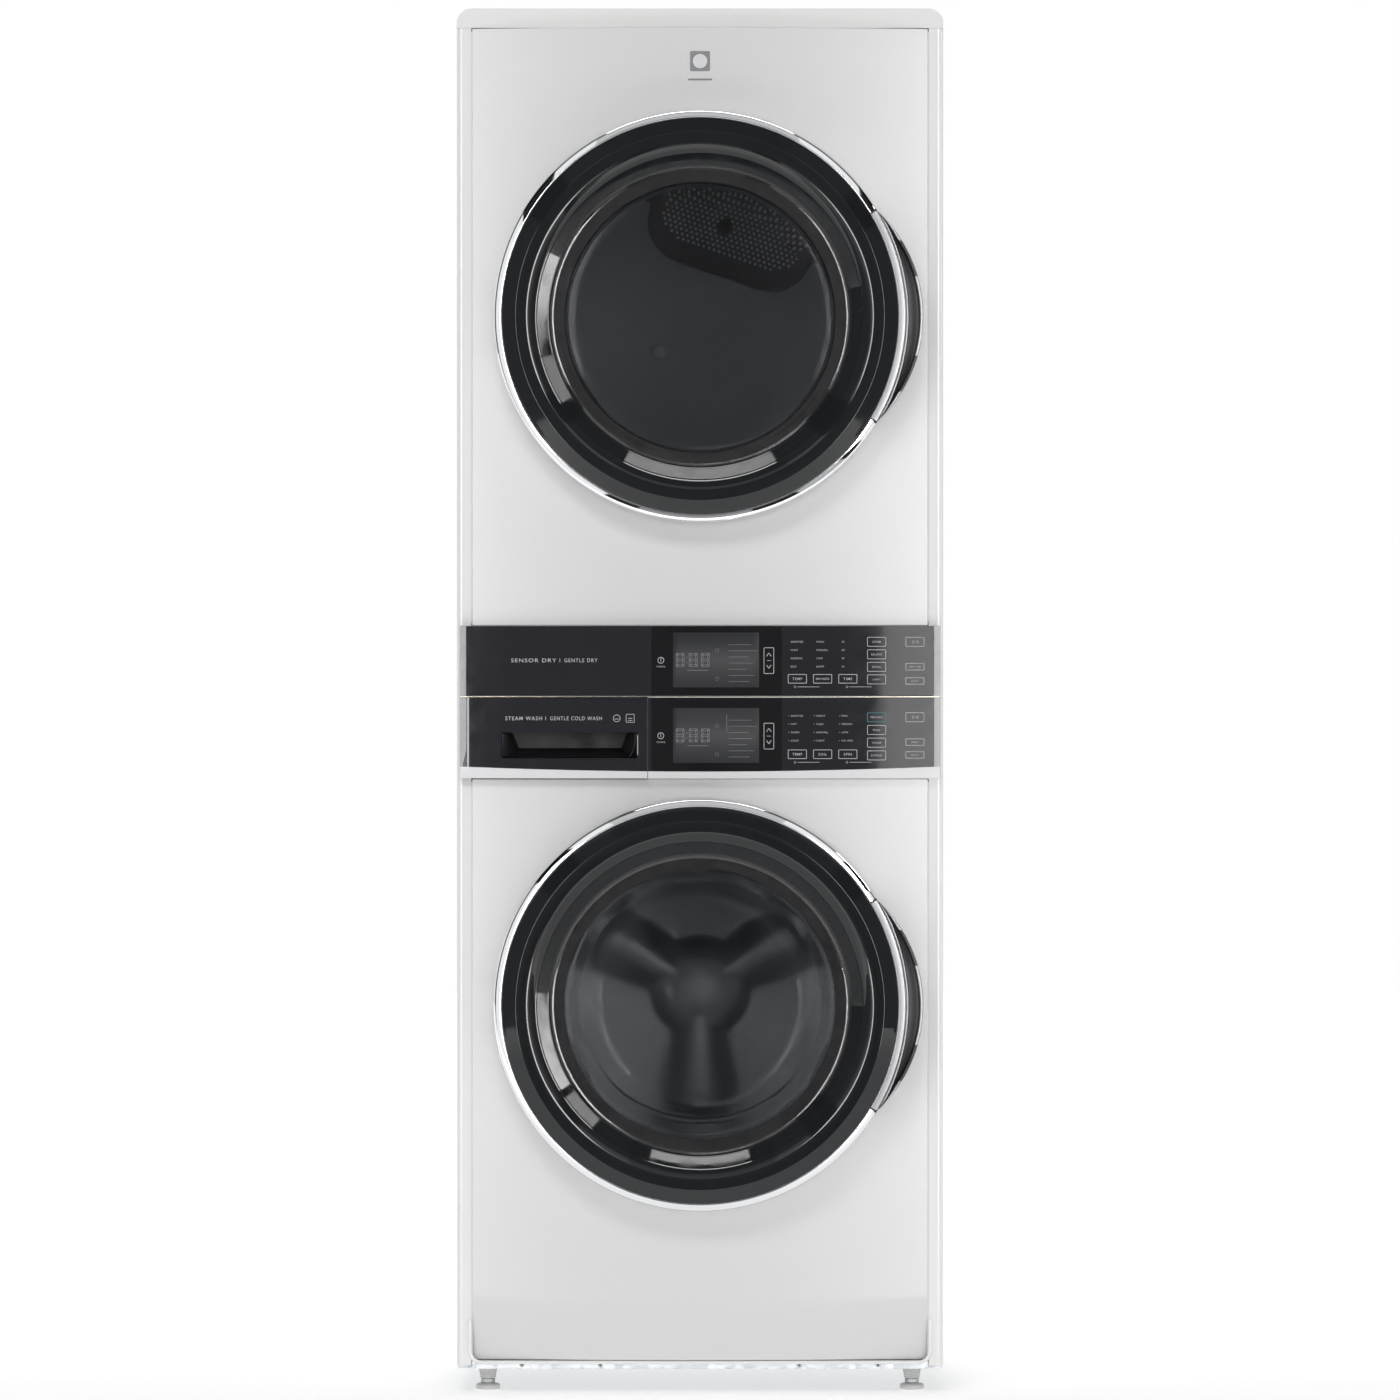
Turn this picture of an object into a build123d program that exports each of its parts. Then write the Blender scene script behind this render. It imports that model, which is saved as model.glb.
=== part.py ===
from build123d import *
from math import cos, radians, sin, sqrt
import os

# A full-size laundry tower: a front-loading washer with a tumble dryer above it in one cabinet.
# Millimetres, +Z up, +Y towards the back, +X to the right of somebody facing the doors.
# The origin is on the floor, under the middle of the whole object's footprint.

# ---------------------------------------------------------------- driving dimensions
CABINET_WIDTH = 686.0
OVERALL_HEIGHT = 1950.0
OVERALL_DEPTH = 810.0
DOOR_STANDOUT = 55.0  # from the crown of the front panels to the door's foremost face
REAR_STANDOUT = 30.0  # from the rear panel to the end of the exhaust collar
PANEL_BOW = 14.0  # how far the middle of a front panel stands ahead of its edges
SHEET = 1.5  # cabinet sheet steel
INNER_SHEET = 2.0  # bulkheads, shelf and base
FOOT_GAP = 33.0  # floor to the underside of the base
DOOR_RADIUS = 289.0
DRYER_AXIS_Z = 1513.0
WASHER_AXIS_Z = 548.0
CONSOLE_TOP = 1080.0
CONSOLE_SEAM = 980.0
CONSOLE_BOTTOM = 865.0
DRAWER_RIGHT = -73.5  # right-hand edge of the detergent drawer's front
RUNNING = 0.05  # radial clearance of a pin or shaft in its bore
GAP = 0.3  # clearance where two bodies move past each other
FIT = 0.5  # clearance between pieces that are fixed together

# ---------------------------------------------------------------- cabinet
EDGE_RADIUS = 8.0
CROWN_RADIUS = 22.0  # top corners, seen from the front
SURROUND = 21.0  # width of the surround beside the front panels
TOP_BORDER = 28.0
SURROUND_SETBACK = 2.0  # surround behind the front panels' side edges
PANEL_RETURN = 14.0  # depth of a front panel's folded edge
BASE_HEIGHT = 25.0
RAIL_HEIGHT = 12.0
SIDE_BOTTOM = 38.0
TOE_BOTTOM = 46.0
TOE_CREASE = 126.0  # height of the crease in the middle of the washer's front
TOE_SLOPE = 0.12  # how far the toe leans back for each millimetre down
TOE_EXTRA_BOW = 1.0
PORT_INSET = 57.0  # how much smaller the porthole's radius is than the door's
PORT_COLLAR = 15.0
SHELF_Z = 1062.0
SHELF_FLANGE = 16.0
SHELF_SETBACK = 40.0

# ---------------------------------------------------------------- feet
FOOT_SIDE_INSET = 43.0
FOOT_INSET = 46.0
STEM_RADIUS = 6.0
PAD_RADIUS = 17.0
PAD_HEIGHT = 8.0
FOOT_TRAVEL = 12.0
FOOT_NUT_RADIUS = 14.0

# ---------------------------------------------------------------- doors
DOOR_GAP = 3.0  # door back to the crown of the front panel
RING_WALL = 3.0
RING_FACE = 11.0
RING_SETBACK = 9.0  # chrome face behind the crest of the lens
LENS_SHEET = 4.0
CREST_INSET = 31.0  # from the door's edge to the outside of the lens's crest
CREST_WIDTH = 18.0
WINDOW_INSET = 77.0
WINDOW_RECESS = 31.0  # how far the window lies behind the crest
FLANGE_INSET = 67.0
NECK_INSET = 90.0
GLASS_WALL = 5.0
WASHER_BOWL = (39.0, 102.0)  # how much narrower the tip is than the neck, and depth behind the door
DRYER_BOWL = (17.0, 22.0)
GRIP_PROUD = 24.0  # how far the handle bulges past the door's edge
GRIP_SHOULDER = 148.0  # half height of the bulge where it leaves the ring
GRIP_RIM = 5.0
GRIP_SETBACK = 2.0
POCKET_DEPTH = 26.0
HINGE_INSET = 15.0  # from the door's edge to the pin's axis
HINGE_DEPTH = 26.0  # pin's axis ahead of the panel's crown
PIN_RADIUS = 4.0
KNUCKLE_RADIUS = 7.0
KNUCKLE_HALF = 27.5
EAR_INNER = 28.0
EAR_OUTER = 40.0
EAR_THICKNESS = 6.0
HINGE_POCKET = 19.0  # from the pin's axis to the inner side of its pocket
HINGE_POCKET_HALF = 46.0
LATCH_INSET = 32.0  # from the door's edge to the latch
STRIKE_DEPTH = 23.0

# ---------------------------------------------------------------- washer
DRUM_RADIUS = 282.0
MOUTH_STEP = 11.0  # how much smaller the drum's mouth is than the tub's neck
DRUM_SHEET = 2.0
DRUM_FRONT = -262.0
DRUM_BACK = 190.0
TUB_CLEARANCE = 12.0
TUB_WALL = 6.0
TUB_SEAM_Y = -60.0
TUB_BACK = 222.0
TUB_FRONT = -286.0
NECK_STEP = 6.0  # how much smaller the tub's neck is than the porthole
TUB_NECK_LENGTH = 14.0
TUB_RIM = 8.0
SHAFT_RADIUS = 17.0
HUB_RADIUS = 45.0
BOSS_LENGTH = 53.0
PULLEY_RADIUS = 150.0
PULLEY_Y = 296.0
PULLEY_WIDTH = 14.0
BELT_WIDTH = 10.0
BELT_THICKNESS = 2.5
WASHER_MOTOR_X = 110.0
WASHER_MOTOR_REACH = 91.76  # from the tub's wall to the motor's axis
WASHER_MOTOR_RADIUS = 62.0
MOTOR_SHAFT_RADIUS = 6.0
MOTOR_PULLEY_RADIUS = 12.0
SPRING_X = 240.0
SPRING_Y = -20.0
SPRING_RADIUS = 14.0
SPRING_WIRE = 8.0
STRAP_LENGTH = 110.0
DAMPER_X = 150.0
BAFFLE_COUNT = 3
WASHER_BAFFLE = (52.0, 42.0)  # height and half width
UPPER_WEIGHT = (300.0, 190.0, 85.0)
BELLOWS_WALL = 3.0

# ---------------------------------------------------------------- dryer
DRYER_DRUM_RADIUS = 315.0
DRYER_DRUM_FRONT = -285.0
DRYER_DRUM_BACK = 232.0
DRYER_MOUTH_STEP = 11.0  # how much larger the dryer drum's mouth is than the porthole
DRYER_BAFFLE = (58.0, 34.0)
FRONT_BULKHEAD_Y = -296.0
REAR_BULKHEAD_Y = 240.0
PAN_DEPTH = 15.0
DRYER_MOTOR = (-225.0, 1175.0)
DRYER_MOTOR_RADIUS = 58.0
DRYER_PULLEY_RADIUS = 14.0
DRYER_BELT_Y = -3.0
WHEEL_RADIUS = 66.0
BLOWER_RADIUS = 80.0
BLOWER_WALL = 3.0
BLOWER_FRONT = -290.0
BLOWER_BACK = -225.0
BLOWER_INLET = 45.0
ROLLER_RADIUS = 36.0
ROLLER_ANGLE = 38.0  # from straight below the drum's axis
ROLLER_Y = 205.0
ROLLER_WIDTH = 20.0
EXHAUST_LEFT = -140.8  # leftmost side of the duct, clear of the dryer's belt
EXHAUST_LIFT = 9.2  # from the shelf to the duct's underside
EXHAUST_RADIUS = 50.8
EXHAUST_STEP = 0.8  # how much the collar at the back is slimmer than the duct
OUTLET_MARGIN = 5.2  # blower's outlet box round the duct
AIR_INLET = (45.0, 1655.0)  # middle of the warm-air inlet in the drum's back wall
AIR_INLET_SIZE = (230.0, 95.0)
AIR_INLET_TILT = -20.0
LINT_HALF_WIDTH = 77.5
LINT_Y = -322.0
LINT_THICKNESS = 12.0
LINT_BOTTOM = 1171.0
LINT_TOP = 1301.0

# ---------------------------------------------------------------- console and dispenser
CONSOLE_INSET = 5.0  # console's ends inside the cabinet's sides
CONSOLE_CROWN = 14.0  # console's crown ahead of the front panels' crown
CONSOLE_BOW = 18.0
CONSOLE_END = 9.0  # width of the grey ends beside the glass
CONSOLE_GLASS = 3.0
LIP_HEIGHT = 10.0
CARRIER_WALL = 2.5
CARRIER_DEPTH = 24.0  # carrier's back behind the surround
PULL = (-279.0, -88.0, 894.0, 930.0)  # left, right, bottom and top of the drawer's pull
PULL_DEPTH = 42.0
TRAY_WALL = 2.5
TRAY_LENGTH = 226.0
TRAY_SIDES = (-309.0, -91.0)
TRAY_HEIGHTS = (888.0, 962.0)
TRAY_CLEARANCE = 2.0
HOUSING_WALL = 3.0

# ---------------------------------------------------------------- services at the back
INLET_X = (180.0, 230.0)
INLET_Z = 930.0
INLET_RADIUS = 13.5
INLET_LENGTH = 15.0
TAIL_SHOULDER = 0.5  # how much thicker a tail is inside the cabinet
DRAIN_X = -80.0
DRAIN_Z = 100.0
DRAIN_RADIUS = 15.0
DRAIN_LENGTH = 25.0
POWER_X = 250.0
POWER_Z = 1000.0
POWER_RADIUS = 14.0

# ---------------------------------------------------------------- worked out from the above
half_width = CABINET_WIDTH / 2
inner_half = half_width - SHEET
panel_half = half_width - SURROUND - 1
front_most = -OVERALL_DEPTH / 2
rear_y = OVERALL_DEPTH / 2 - REAR_STANDOUT
rear_inner = rear_y - SHEET
crown_y = front_most + DOOR_STANDOUT
edge_y = crown_y + PANEL_BOW
surround_y = edge_y + SURROUND_SETBACK
return_y = edge_y + PANEL_RETURN
crown_z = OVERALL_HEIGHT - TOP_BORDER
base_top = FOOT_GAP + BASE_HEIGHT
panel_arc = (panel_half**2 + PANEL_BOW**2) / (2 * PANEL_BOW)
port_radius = DOOR_RADIUS - PORT_INSET
crest_outer = DOOR_RADIUS - CREST_INSET
crest_inner = crest_outer - CREST_WIDTH
window_radius = DOOR_RADIUS - WINDOW_INSET
glass_flange = DOOR_RADIUS - FLANGE_INSET
glass_neck = DOOR_RADIUS - NECK_INSET
grip_reach = DOOR_RADIUS + GRIP_PROUD
hinge_x = HINGE_INSET - DOOR_RADIUS
hinge_pocket_x = hinge_x + HINGE_POCKET
latch_x = DOOR_RADIUS - LATCH_INSET
foot_x = half_width - FOOT_SIDE_INSET
console_half = half_width - CONSOLE_INSET
console_glass_half = console_half - CONSOLE_END
console_arc = (console_half**2 + CONSOLE_BOW**2) / (2 * CONSOLE_BOW)
console_y = crown_y - CONSOLE_CROWN
carrier_back = surround_y + CARRIER_DEPTH
pull_back = console_y + PULL_DEPTH
door_back = crown_y - DOOR_GAP
ring_front = front_most + RING_SETBACK
frame_front = ring_front + RING_WALL + GAP
frame_outer = DOOR_RADIUS - RING_WALL - FIT
frame_floor = door_back - RING_WALL
hinge_y = crown_y - HINGE_DEPTH
tub_inner = DRUM_RADIUS + TUB_CLEARANCE
tub_outer = tub_inner + TUB_WALL
tub_neck = port_radius - NECK_STEP
drum_mouth = tub_neck - MOUTH_STEP
motor_drop = sqrt((tub_outer + WASHER_MOTOR_REACH) ** 2 - WASHER_MOTOR_X**2)
washer_motor = (WASHER_MOTOR_X, WASHER_AXIS_Z - motor_drop)
dryer_mouth = port_radius + DRYER_MOUTH_STEP
exhaust_x = EXHAUST_LEFT + EXHAUST_RADIUS
exhaust_z = SHELF_Z + EXHAUST_LIFT + EXHAUST_RADIUS
outlet_half = EXHAUST_RADIUS + OUTLET_MARGIN
pan_y = REAR_BULKHEAD_Y - PAN_DEPTH


def front_plane(y, x=0.0, z=0.0):
    """A sketch plane seen from the front: its x is X and its y is Z; minus extrudes go back."""
    return Plane(origin=(x, y, z), x_dir=(1, 0, 0), z_dir=(0, -1, 0))


def save(piece, name):
    """Labels a finished piece and writes it as its own STEP file."""
    piece.part.label = name
    export_step(piece.part, f"parts/{name}.step")


def arc_y(x, apex, radius):
    """Depth at x of a surface bowed towards the front, from its apex and its radius."""
    return apex + radius - sqrt(radius**2 - x**2)


def bowed(left, right, apex, radius, back, mode=Mode.ADD):
    """Draws a plan outline from left to right with one bowed side and one straight side."""
    middle = (left + right) / 2
    corners = [(x, arc_y(x, apex, radius)) for x in (left, middle, right)]
    with BuildLine() as line:
        ThreePointArc(*corners)
        Polyline(corners[2], (right, back), (left, back), corners[0])
    make_face(line.edges(), mode=mode)


def outline(*points):
    """Draws a closed straight-sided outline."""
    with BuildLine() as line:
        Polyline(*points, close=True)
    make_face(line.edges())


def spin(z):
    """Turns the pending profile, drawn as radius and depth, about the front-to-back axis at z."""
    revolve(axis=Axis((0, 0, z), (0, 1, 0)))


def block(left, right, near, far, low, high, mode=Mode.ADD):
    """Adds or cuts a box given by its sides."""
    with BuildSketch(Plane.XY.offset(low)) as base:
        with Locations(((left + right) / 2, (near + far) / 2)):
            Rectangle(right - left, far - near)
    extrude(base.sketch, amount=high - low, mode=mode)


def rod(x, z, radius, near, far, mode=Mode.ADD):
    """Adds or cuts a round bar that runs from front to back."""
    with BuildSketch(front_plane(near, x, z)) as end:
        Circle(radius)
    extrude(end.sketch, amount=-(far - near), mode=mode)


# ================================================================ cabinet
def make_side_panel(side, name):
    """Side wall with a rounded surround folded at its front and a flange at its back."""
    middle = (surround_y + rear_inner) / 2
    depth = rear_inner - surround_y
    with BuildPart() as panel:
        with BuildSketch(Plane.XY.offset(SIDE_BOTTOM)):
            with Locations((side * (half_width - SURROUND / 2), middle)):
                Rectangle(SURROUND, depth)
            outer = vertices().group_by(Axis.Y)[0].sort_by(Axis.X)[-1 if side > 0 else 0]
            fillet(outer, EDGE_RADIUS)
        extrude(amount=crown_z - SIDE_BOTTOM)
        with BuildSketch(Plane.XY.offset(SIDE_BOTTOM)):
            with Locations((side * (half_width - SHEET - SURROUND / 2), middle)):
                Rectangle(SURROUND, depth - 2 * SHEET)
            outer = vertices().group_by(Axis.Y)[0].sort_by(Axis.X)[-1 if side > 0 else 0]
            fillet(outer, EDGE_RADIUS - SHEET)
        extrude(amount=crown_z - SIDE_BOTTOM, mode=Mode.SUBTRACT)
    save(panel, name)


def make_top_panel():
    """Pressed top with rounded shoulders, open underneath."""
    depth = rear_inner - surround_y
    with BuildPart() as top:
        with BuildSketch(front_plane(surround_y)):
            with Locations((0, crown_z + TOP_BORDER / 2)):
                Rectangle(CABINET_WIDTH, TOP_BORDER)
            fillet(vertices().group_by(Axis.Y)[-1], CROWN_RADIUS)
        extrude(amount=-depth)
        with BuildSketch(front_plane(surround_y + SHEET)):
            with Locations((0, crown_z + (TOP_BORDER - SHEET) / 2)):
                Rectangle(CABINET_WIDTH - 2 * SHEET, TOP_BORDER - SHEET)
            fillet(vertices().group_by(Axis.Y)[-1], CROWN_RADIUS - SHEET)
        extrude(amount=-(depth - 2 * SHEET), mode=Mode.SUBTRACT)
    save(top, "top_panel")


def make_rear_panel():
    """Flat back with its service holes and louvres."""
    bottom = FOOT_GAP + INNER_SHEET
    top = OVERALL_HEIGHT - 2
    with BuildPart() as rear:
        with BuildSketch(front_plane(rear_inner)):
            with Locations((0, (bottom + top) / 2)):
                Rectangle(CABINET_WIDTH - 2, top - bottom)
            fillet(vertices(), 6)
            with Locations((exhaust_x, exhaust_z)):
                Circle(EXHAUST_RADIUS + 2, mode=Mode.SUBTRACT)
            with Locations(*[(x, INLET_Z) for x in INLET_X]):
                Circle(INLET_RADIUS + 1, mode=Mode.SUBTRACT)
            with Locations((DRAIN_X, DRAIN_Z)):
                Circle(DRAIN_RADIUS + 1, mode=Mode.SUBTRACT)
            with Locations((POWER_X, POWER_Z)):
                Circle(POWER_RADIUS, mode=Mode.SUBTRACT)
            with Locations((0, OVERALL_HEIGHT - 160)):
                with GridLocations(70, 16, 6, 5):
                    SlotOverall(54, 6, mode=Mode.SUBTRACT)
        extrude(amount=-SHEET)
    save(rear, "rear_panel")


foot_places = {
    "front_left": (-foot_x, surround_y + FOOT_INSET),
    "front_right": (foot_x, surround_y + FOOT_INSET),
    "rear_left": (-foot_x, rear_y - FOOT_INSET),
    "rear_right": (foot_x, rear_y - FOOT_INSET),
}


def make_base_frame():
    """Open steel pan with a rail along its front and a threaded boss over each foot."""
    half = inner_half - GAP
    far = rear_inner - 2 * SHEET
    with BuildPart() as base:
        block(-half, half, return_y + 2, far, FOOT_GAP, base_top)
        block(-panel_half, panel_half, surround_y, return_y + 2, FOOT_GAP, FOOT_GAP + RAIL_HEIGHT)
        block(
            -half + INNER_SHEET,
            half - INNER_SHEET,
            return_y + 2 + INNER_SHEET,
            far - INNER_SHEET,
            FOOT_GAP + INNER_SHEET,
            base_top,
            Mode.SUBTRACT,
        )
        with BuildSketch(Plane.XY.offset(FOOT_GAP + INNER_SHEET)):
            with Locations(*foot_places.values()):
                Circle(FOOT_NUT_RADIUS)
        extrude(amount=BASE_HEIGHT - 2 * INNER_SHEET)
        with BuildSketch(Plane.XY.offset(FOOT_GAP)):
            with Locations(*foot_places.values()):
                Circle(STEM_RADIUS + RUNNING)
        extrude(amount=BASE_HEIGHT, mode=Mode.SUBTRACT)
    save(base, "base_frame")


def make_foot(place, name):
    """Levelling foot: pad, hexagon and threaded stem."""
    with BuildPart() as foot:
        with BuildSketch(Plane.XY):
            with Locations(place):
                Circle(PAD_RADIUS)
        extrude(amount=PAD_HEIGHT)
        with BuildSketch(Plane.XY.offset(PAD_HEIGHT)):
            with Locations(place):
                RegularPolygon(STEM_RADIUS + 4, 6)
        extrude(amount=FOOT_GAP - PAD_HEIGHT - 8)
        with BuildSketch(Plane.XY.offset(PAD_HEIGHT)):
            with Locations(place):
                Circle(STEM_RADIUS)
        extrude(amount=base_top + FOOT_TRAVEL - PAD_HEIGHT)
    save(foot, name)


def make_mid_shelf():
    """Shelf between washer and dryer, with the straps that the tub's springs hang from."""
    front = surround_y + SHELF_SETBACK
    far = rear_inner - 2 * SHEET
    half = inner_half - GAP
    under = SHELF_Z - INNER_SHEET
    with BuildPart() as shelf:
        block(-half, half, front, far, under, SHELF_Z)
        block(-half, half, front, front + INNER_SHEET, under - SHELF_FLANGE, under)
        block(-half, half, far - INNER_SHEET, far, under - SHELF_FLANGE, under)
        for x in (-SPRING_X, SPRING_X):
            block(x - 15, x + 15, SPRING_Y - 1.5, SPRING_Y + 1.5, under - STRAP_LENGTH, under)
            block(
                x - 15,
                x + 15,
                SPRING_Y - 12,
                SPRING_Y + 12,
                under - STRAP_LENGTH,
                under - STRAP_LENGTH + 3,
            )
    save(shelf, "mid_shelf")


def port_and_slots(z, back):
    """Cuts a front panel's porthole, leaves its rolled collar, and cuts hinge and latch slots."""
    middle = (EAR_INNER + EAR_OUTER) / 2
    rod(0, z, port_radius, crown_y - 1, back, Mode.SUBTRACT)
    with BuildSketch(front_plane(crown_y - 1, 0, z)) as slots:
        with Locations((hinge_x, middle), (hinge_x, -middle)):
            Rectangle(EAR_THICKNESS + 2 * FIT, EAR_OUTER - EAR_INNER + 2 * FIT)
        with Locations((latch_x, 0)):
            Rectangle(30, 22)
    extrude(slots.sketch, amount=-(back - crown_y), mode=Mode.SUBTRACT)


def behind_face(low, high, mode=Mode.ADD):
    """Adds, or keeps, what lies behind a front panel's bowed face."""
    with BuildSketch(Plane.XY.offset(low)) as face:
        bowed(-panel_half, panel_half, crown_y, panel_arc, return_y)
    extrude(face.sketch, amount=high - low, mode=mode)


def collar(z):
    """Rolled edge of a porthole, from ahead of the panel's face to behind its sheet."""
    with BuildSketch(Plane.XY.offset(z)) as edge:
        outline(
            (port_radius - 1, crown_y),
            (port_radius + SHEET, crown_y),
            (port_radius + SHEET, crown_y + PORT_COLLAR),
            (port_radius - 1, crown_y + PORT_COLLAR),
        )
    revolve(edge.sketch, axis=Axis((0, 0, z), (0, 1, 0)))


def make_dryer_front():
    """Bowed dryer front with its porthole."""
    low = CONSOLE_TOP + FIT
    high = crown_z - 1
    inner = panel_half - SHEET
    with BuildPart() as panel:
        behind_face(low, high)
        with BuildSketch(Plane.XY.offset(low + SHEET)):
            bowed(-inner, inner, crown_y + SHEET, panel_arc - SHEET, return_y + 1)
        extrude(amount=high - low - 2 * SHEET, mode=Mode.SUBTRACT)
        collar(DRYER_AXIS_Z)
        behind_face(low, high, Mode.INTERSECT)
        port_and_slots(DRYER_AXIS_Z, return_y + 1)
    save(panel, "dryer_front_panel")


def lean(inset):
    """Keeps what lies behind the toe's leaning face."""
    setback = (TOE_CREASE - TOE_BOTTOM) * TOE_SLOPE
    half = panel_half + 30
    arc = (panel_half**2 + (PANEL_BOW + TOE_EXTRA_BOW) ** 2) / (2 * (PANEL_BOW + TOE_EXTRA_BOW))
    with BuildSketch(Plane.XY.offset(TOE_BOTTOM)) as foot:
        bowed(-half, half, crown_y + inset + setback, arc - inset, return_y + 140)
    extrude(foot.sketch, amount=1000, dir=(0, -TOE_SLOPE, 1), mode=Mode.INTERSECT)


def make_washer_front():
    """Bowed washer front with its porthole and a toe that leans back below a soft crease."""
    high = CONSOLE_BOTTOM - FIT
    inner = panel_half - SHEET
    with BuildPart() as hollow:
        with BuildSketch(Plane.XY.offset(TOE_BOTTOM)):
            bowed(-inner, inner, crown_y + SHEET, panel_arc - SHEET, return_y + 1)
        extrude(amount=high - TOE_BOTTOM)
        lean(SHEET)
        block(-half_width, half_width, front_most, 0, TOE_BOTTOM - 1, TOE_BOTTOM + SHEET, Mode.SUBTRACT)
        block(-half_width, half_width, front_most, 0, high - SHEET, high + 1, Mode.SUBTRACT)
    with BuildPart() as panel:
        behind_face(TOE_BOTTOM, high)
        lean(0)
        add(hollow.part, mode=Mode.SUBTRACT)
        collar(WASHER_AXIS_Z)
        behind_face(TOE_BOTTOM, high, Mode.INTERSECT)
        port_and_slots(WASHER_AXIS_Z, return_y + 1)
    save(panel, "washer_front_panel")


def make_screws():
    """Pan-head screws round the rear panel and along the base's front rail."""
    radius = 4.5
    thickness = 2.4
    low = base_top + 30
    rows = [low + i * (OVERALL_HEIGHT - 40 - low) / 6 for i in range(7)]
    edge = half_width - 9
    with BuildPart() as screws:
        with BuildSketch(front_plane(rear_y)):
            with Locations(*[(x, z) for x in (-edge, edge) for z in rows]):
                Circle(radius)
        extrude(amount=-thickness)
        with BuildSketch(front_plane(surround_y - 1)):
            with Locations(*[(x, FOOT_GAP + RAIL_HEIGHT / 2) for x in (-251, -140, 140, 251)]):
                Circle(radius - 1)
        extrude(amount=-1)
    save(screws, "cabinet_screws")


# ================================================================ console and drawer
def console_slab(left, right, low, high, inset, back, mode=Mode.ADD):
    """Adds or cuts a slab whose front lies inset behind the console's bowed face."""
    with BuildSketch(Plane.XY.offset(low)) as slab:
        bowed(left, right, console_y + inset, console_arc - inset, back)
    extrude(slab.sketch, amount=high - low, mode=mode)


def make_carrier():
    """Console body: grey ends, a white lip, and a recess for each control glass."""
    wall = CARRIER_WALL
    seat = CONSOLE_GLASS + GAP
    left = DRAWER_RIGHT + GAP
    inner = panel_half - wall
    ahead = console_y - 5
    near = surround_y - GAP
    with BuildPart() as carrier:
        console_slab(-console_half, console_half, CONSOLE_SEAM, CONSOLE_TOP, 0, near)
        console_slab(left, console_half, CONSOLE_BOTTOM, CONSOLE_SEAM, 0, near)
        block(-panel_half, panel_half, near - 2, carrier_back, CONSOLE_SEAM, CONSOLE_TOP)
        block(left, panel_half, near - 2, carrier_back, CONSOLE_BOTTOM, CONSOLE_SEAM)
        for start, low, high in (
            (-inner, CONSOLE_SEAM + wall, CONSOLE_TOP - wall),
            (left + wall, CONSOLE_BOTTOM + wall, CONSOLE_SEAM - wall),
        ):
            console_slab(start, inner, low, high, seat + wall, carrier_back + 1, Mode.SUBTRACT)
        glass = console_glass_half
        low = CONSOLE_BOTTOM + LIP_HEIGHT
        console_slab(-glass, glass, CONSOLE_SEAM + 1, CONSOLE_TOP + 1, seat, ahead, Mode.SUBTRACT)
        console_slab(left - 1, glass, low, CONSOLE_SEAM - 1, seat, ahead, Mode.SUBTRACT)
    save(carrier, "console_carrier")


def make_control_glass(left, low, high, name):
    """Curved touch glass seated in the console's recess."""
    right = console_glass_half - GAP
    sheet = CONSOLE_GLASS
    with BuildPart() as glass:
        with BuildSketch(Plane.XY.offset(low)):
            bowed(left, right, console_y, console_arc, surround_y)
            bowed(left, right, console_y + sheet, console_arc - sheet, surround_y, Mode.SUBTRACT)
        extrude(amount=high - low)
    save(glass, name)


def make_fascia():
    """Drawer front with its finger pull, open at the back."""
    left, right, low, high = PULL
    wall = CARRIER_WALL
    edge = DRAWER_RIGHT - GAP
    bottom = CONSOLE_BOTTOM + GAP
    top = CONSOLE_SEAM - GAP
    near = surround_y - GAP
    with BuildPart() as fascia:
        console_slab(-console_half, edge, bottom, top, 0, near)
        console_slab(
            -console_half + wall, edge - wall, bottom + wall, top - wall, wall, near + 1, Mode.SUBTRACT
        )
        console_slab(
            left - wall, right + wall, low - wall, high + wall, 0, pull_back + wall
        )
        console_slab(left, right, low, high, -5, pull_back, Mode.SUBTRACT)
    save(fascia, "drawer_fascia")


def make_tray():
    """Dispenser tray with three compartments."""
    left, right = TRAY_SIDES
    low, high = TRAY_HEIGHTS
    near = pull_back + CARRIER_WALL + FIT
    far = near + TRAY_LENGTH
    wall = TRAY_WALL
    third = (right - left - 4 * wall) / 3
    with BuildPart() as tray:
        block(left, right, near, far, low, high)
        for i in range(3):
            start = left + wall + i * (third + wall)
            block(start, start + third, near + wall, far - wall, low + wall, high, Mode.SUBTRACT)
    save(tray, "drawer_tray")


def make_housing():
    """Dispenser housing round the tray, hung from the console by two lugs."""
    room = TRAY_CLEARANCE
    left, right = TRAY_SIDES[0] - room, TRAY_SIDES[1] + room
    low, high = TRAY_HEIGHTS[0] - room, TRAY_HEIGHTS[1] + room
    near = pull_back + CARRIER_WALL + FIT + 2
    far = pull_back + TRAY_LENGTH + 3 * room
    wall = HOUSING_WALL
    with BuildPart() as housing:
        block(left - wall, right + wall, near, far + wall, low - wall, high + wall)
        block(left, right, near - 1, far, low, high, Mode.SUBTRACT)
        for x in (left + 40, right - 40):
            block(x - 15, x + 15, near, near + 12, high + wall, CONSOLE_SEAM - FIT)
        block(right - 60, right - 20, far + wall, far + wall + 25, low, high)
    save(housing, "dispenser_housing")


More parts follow.
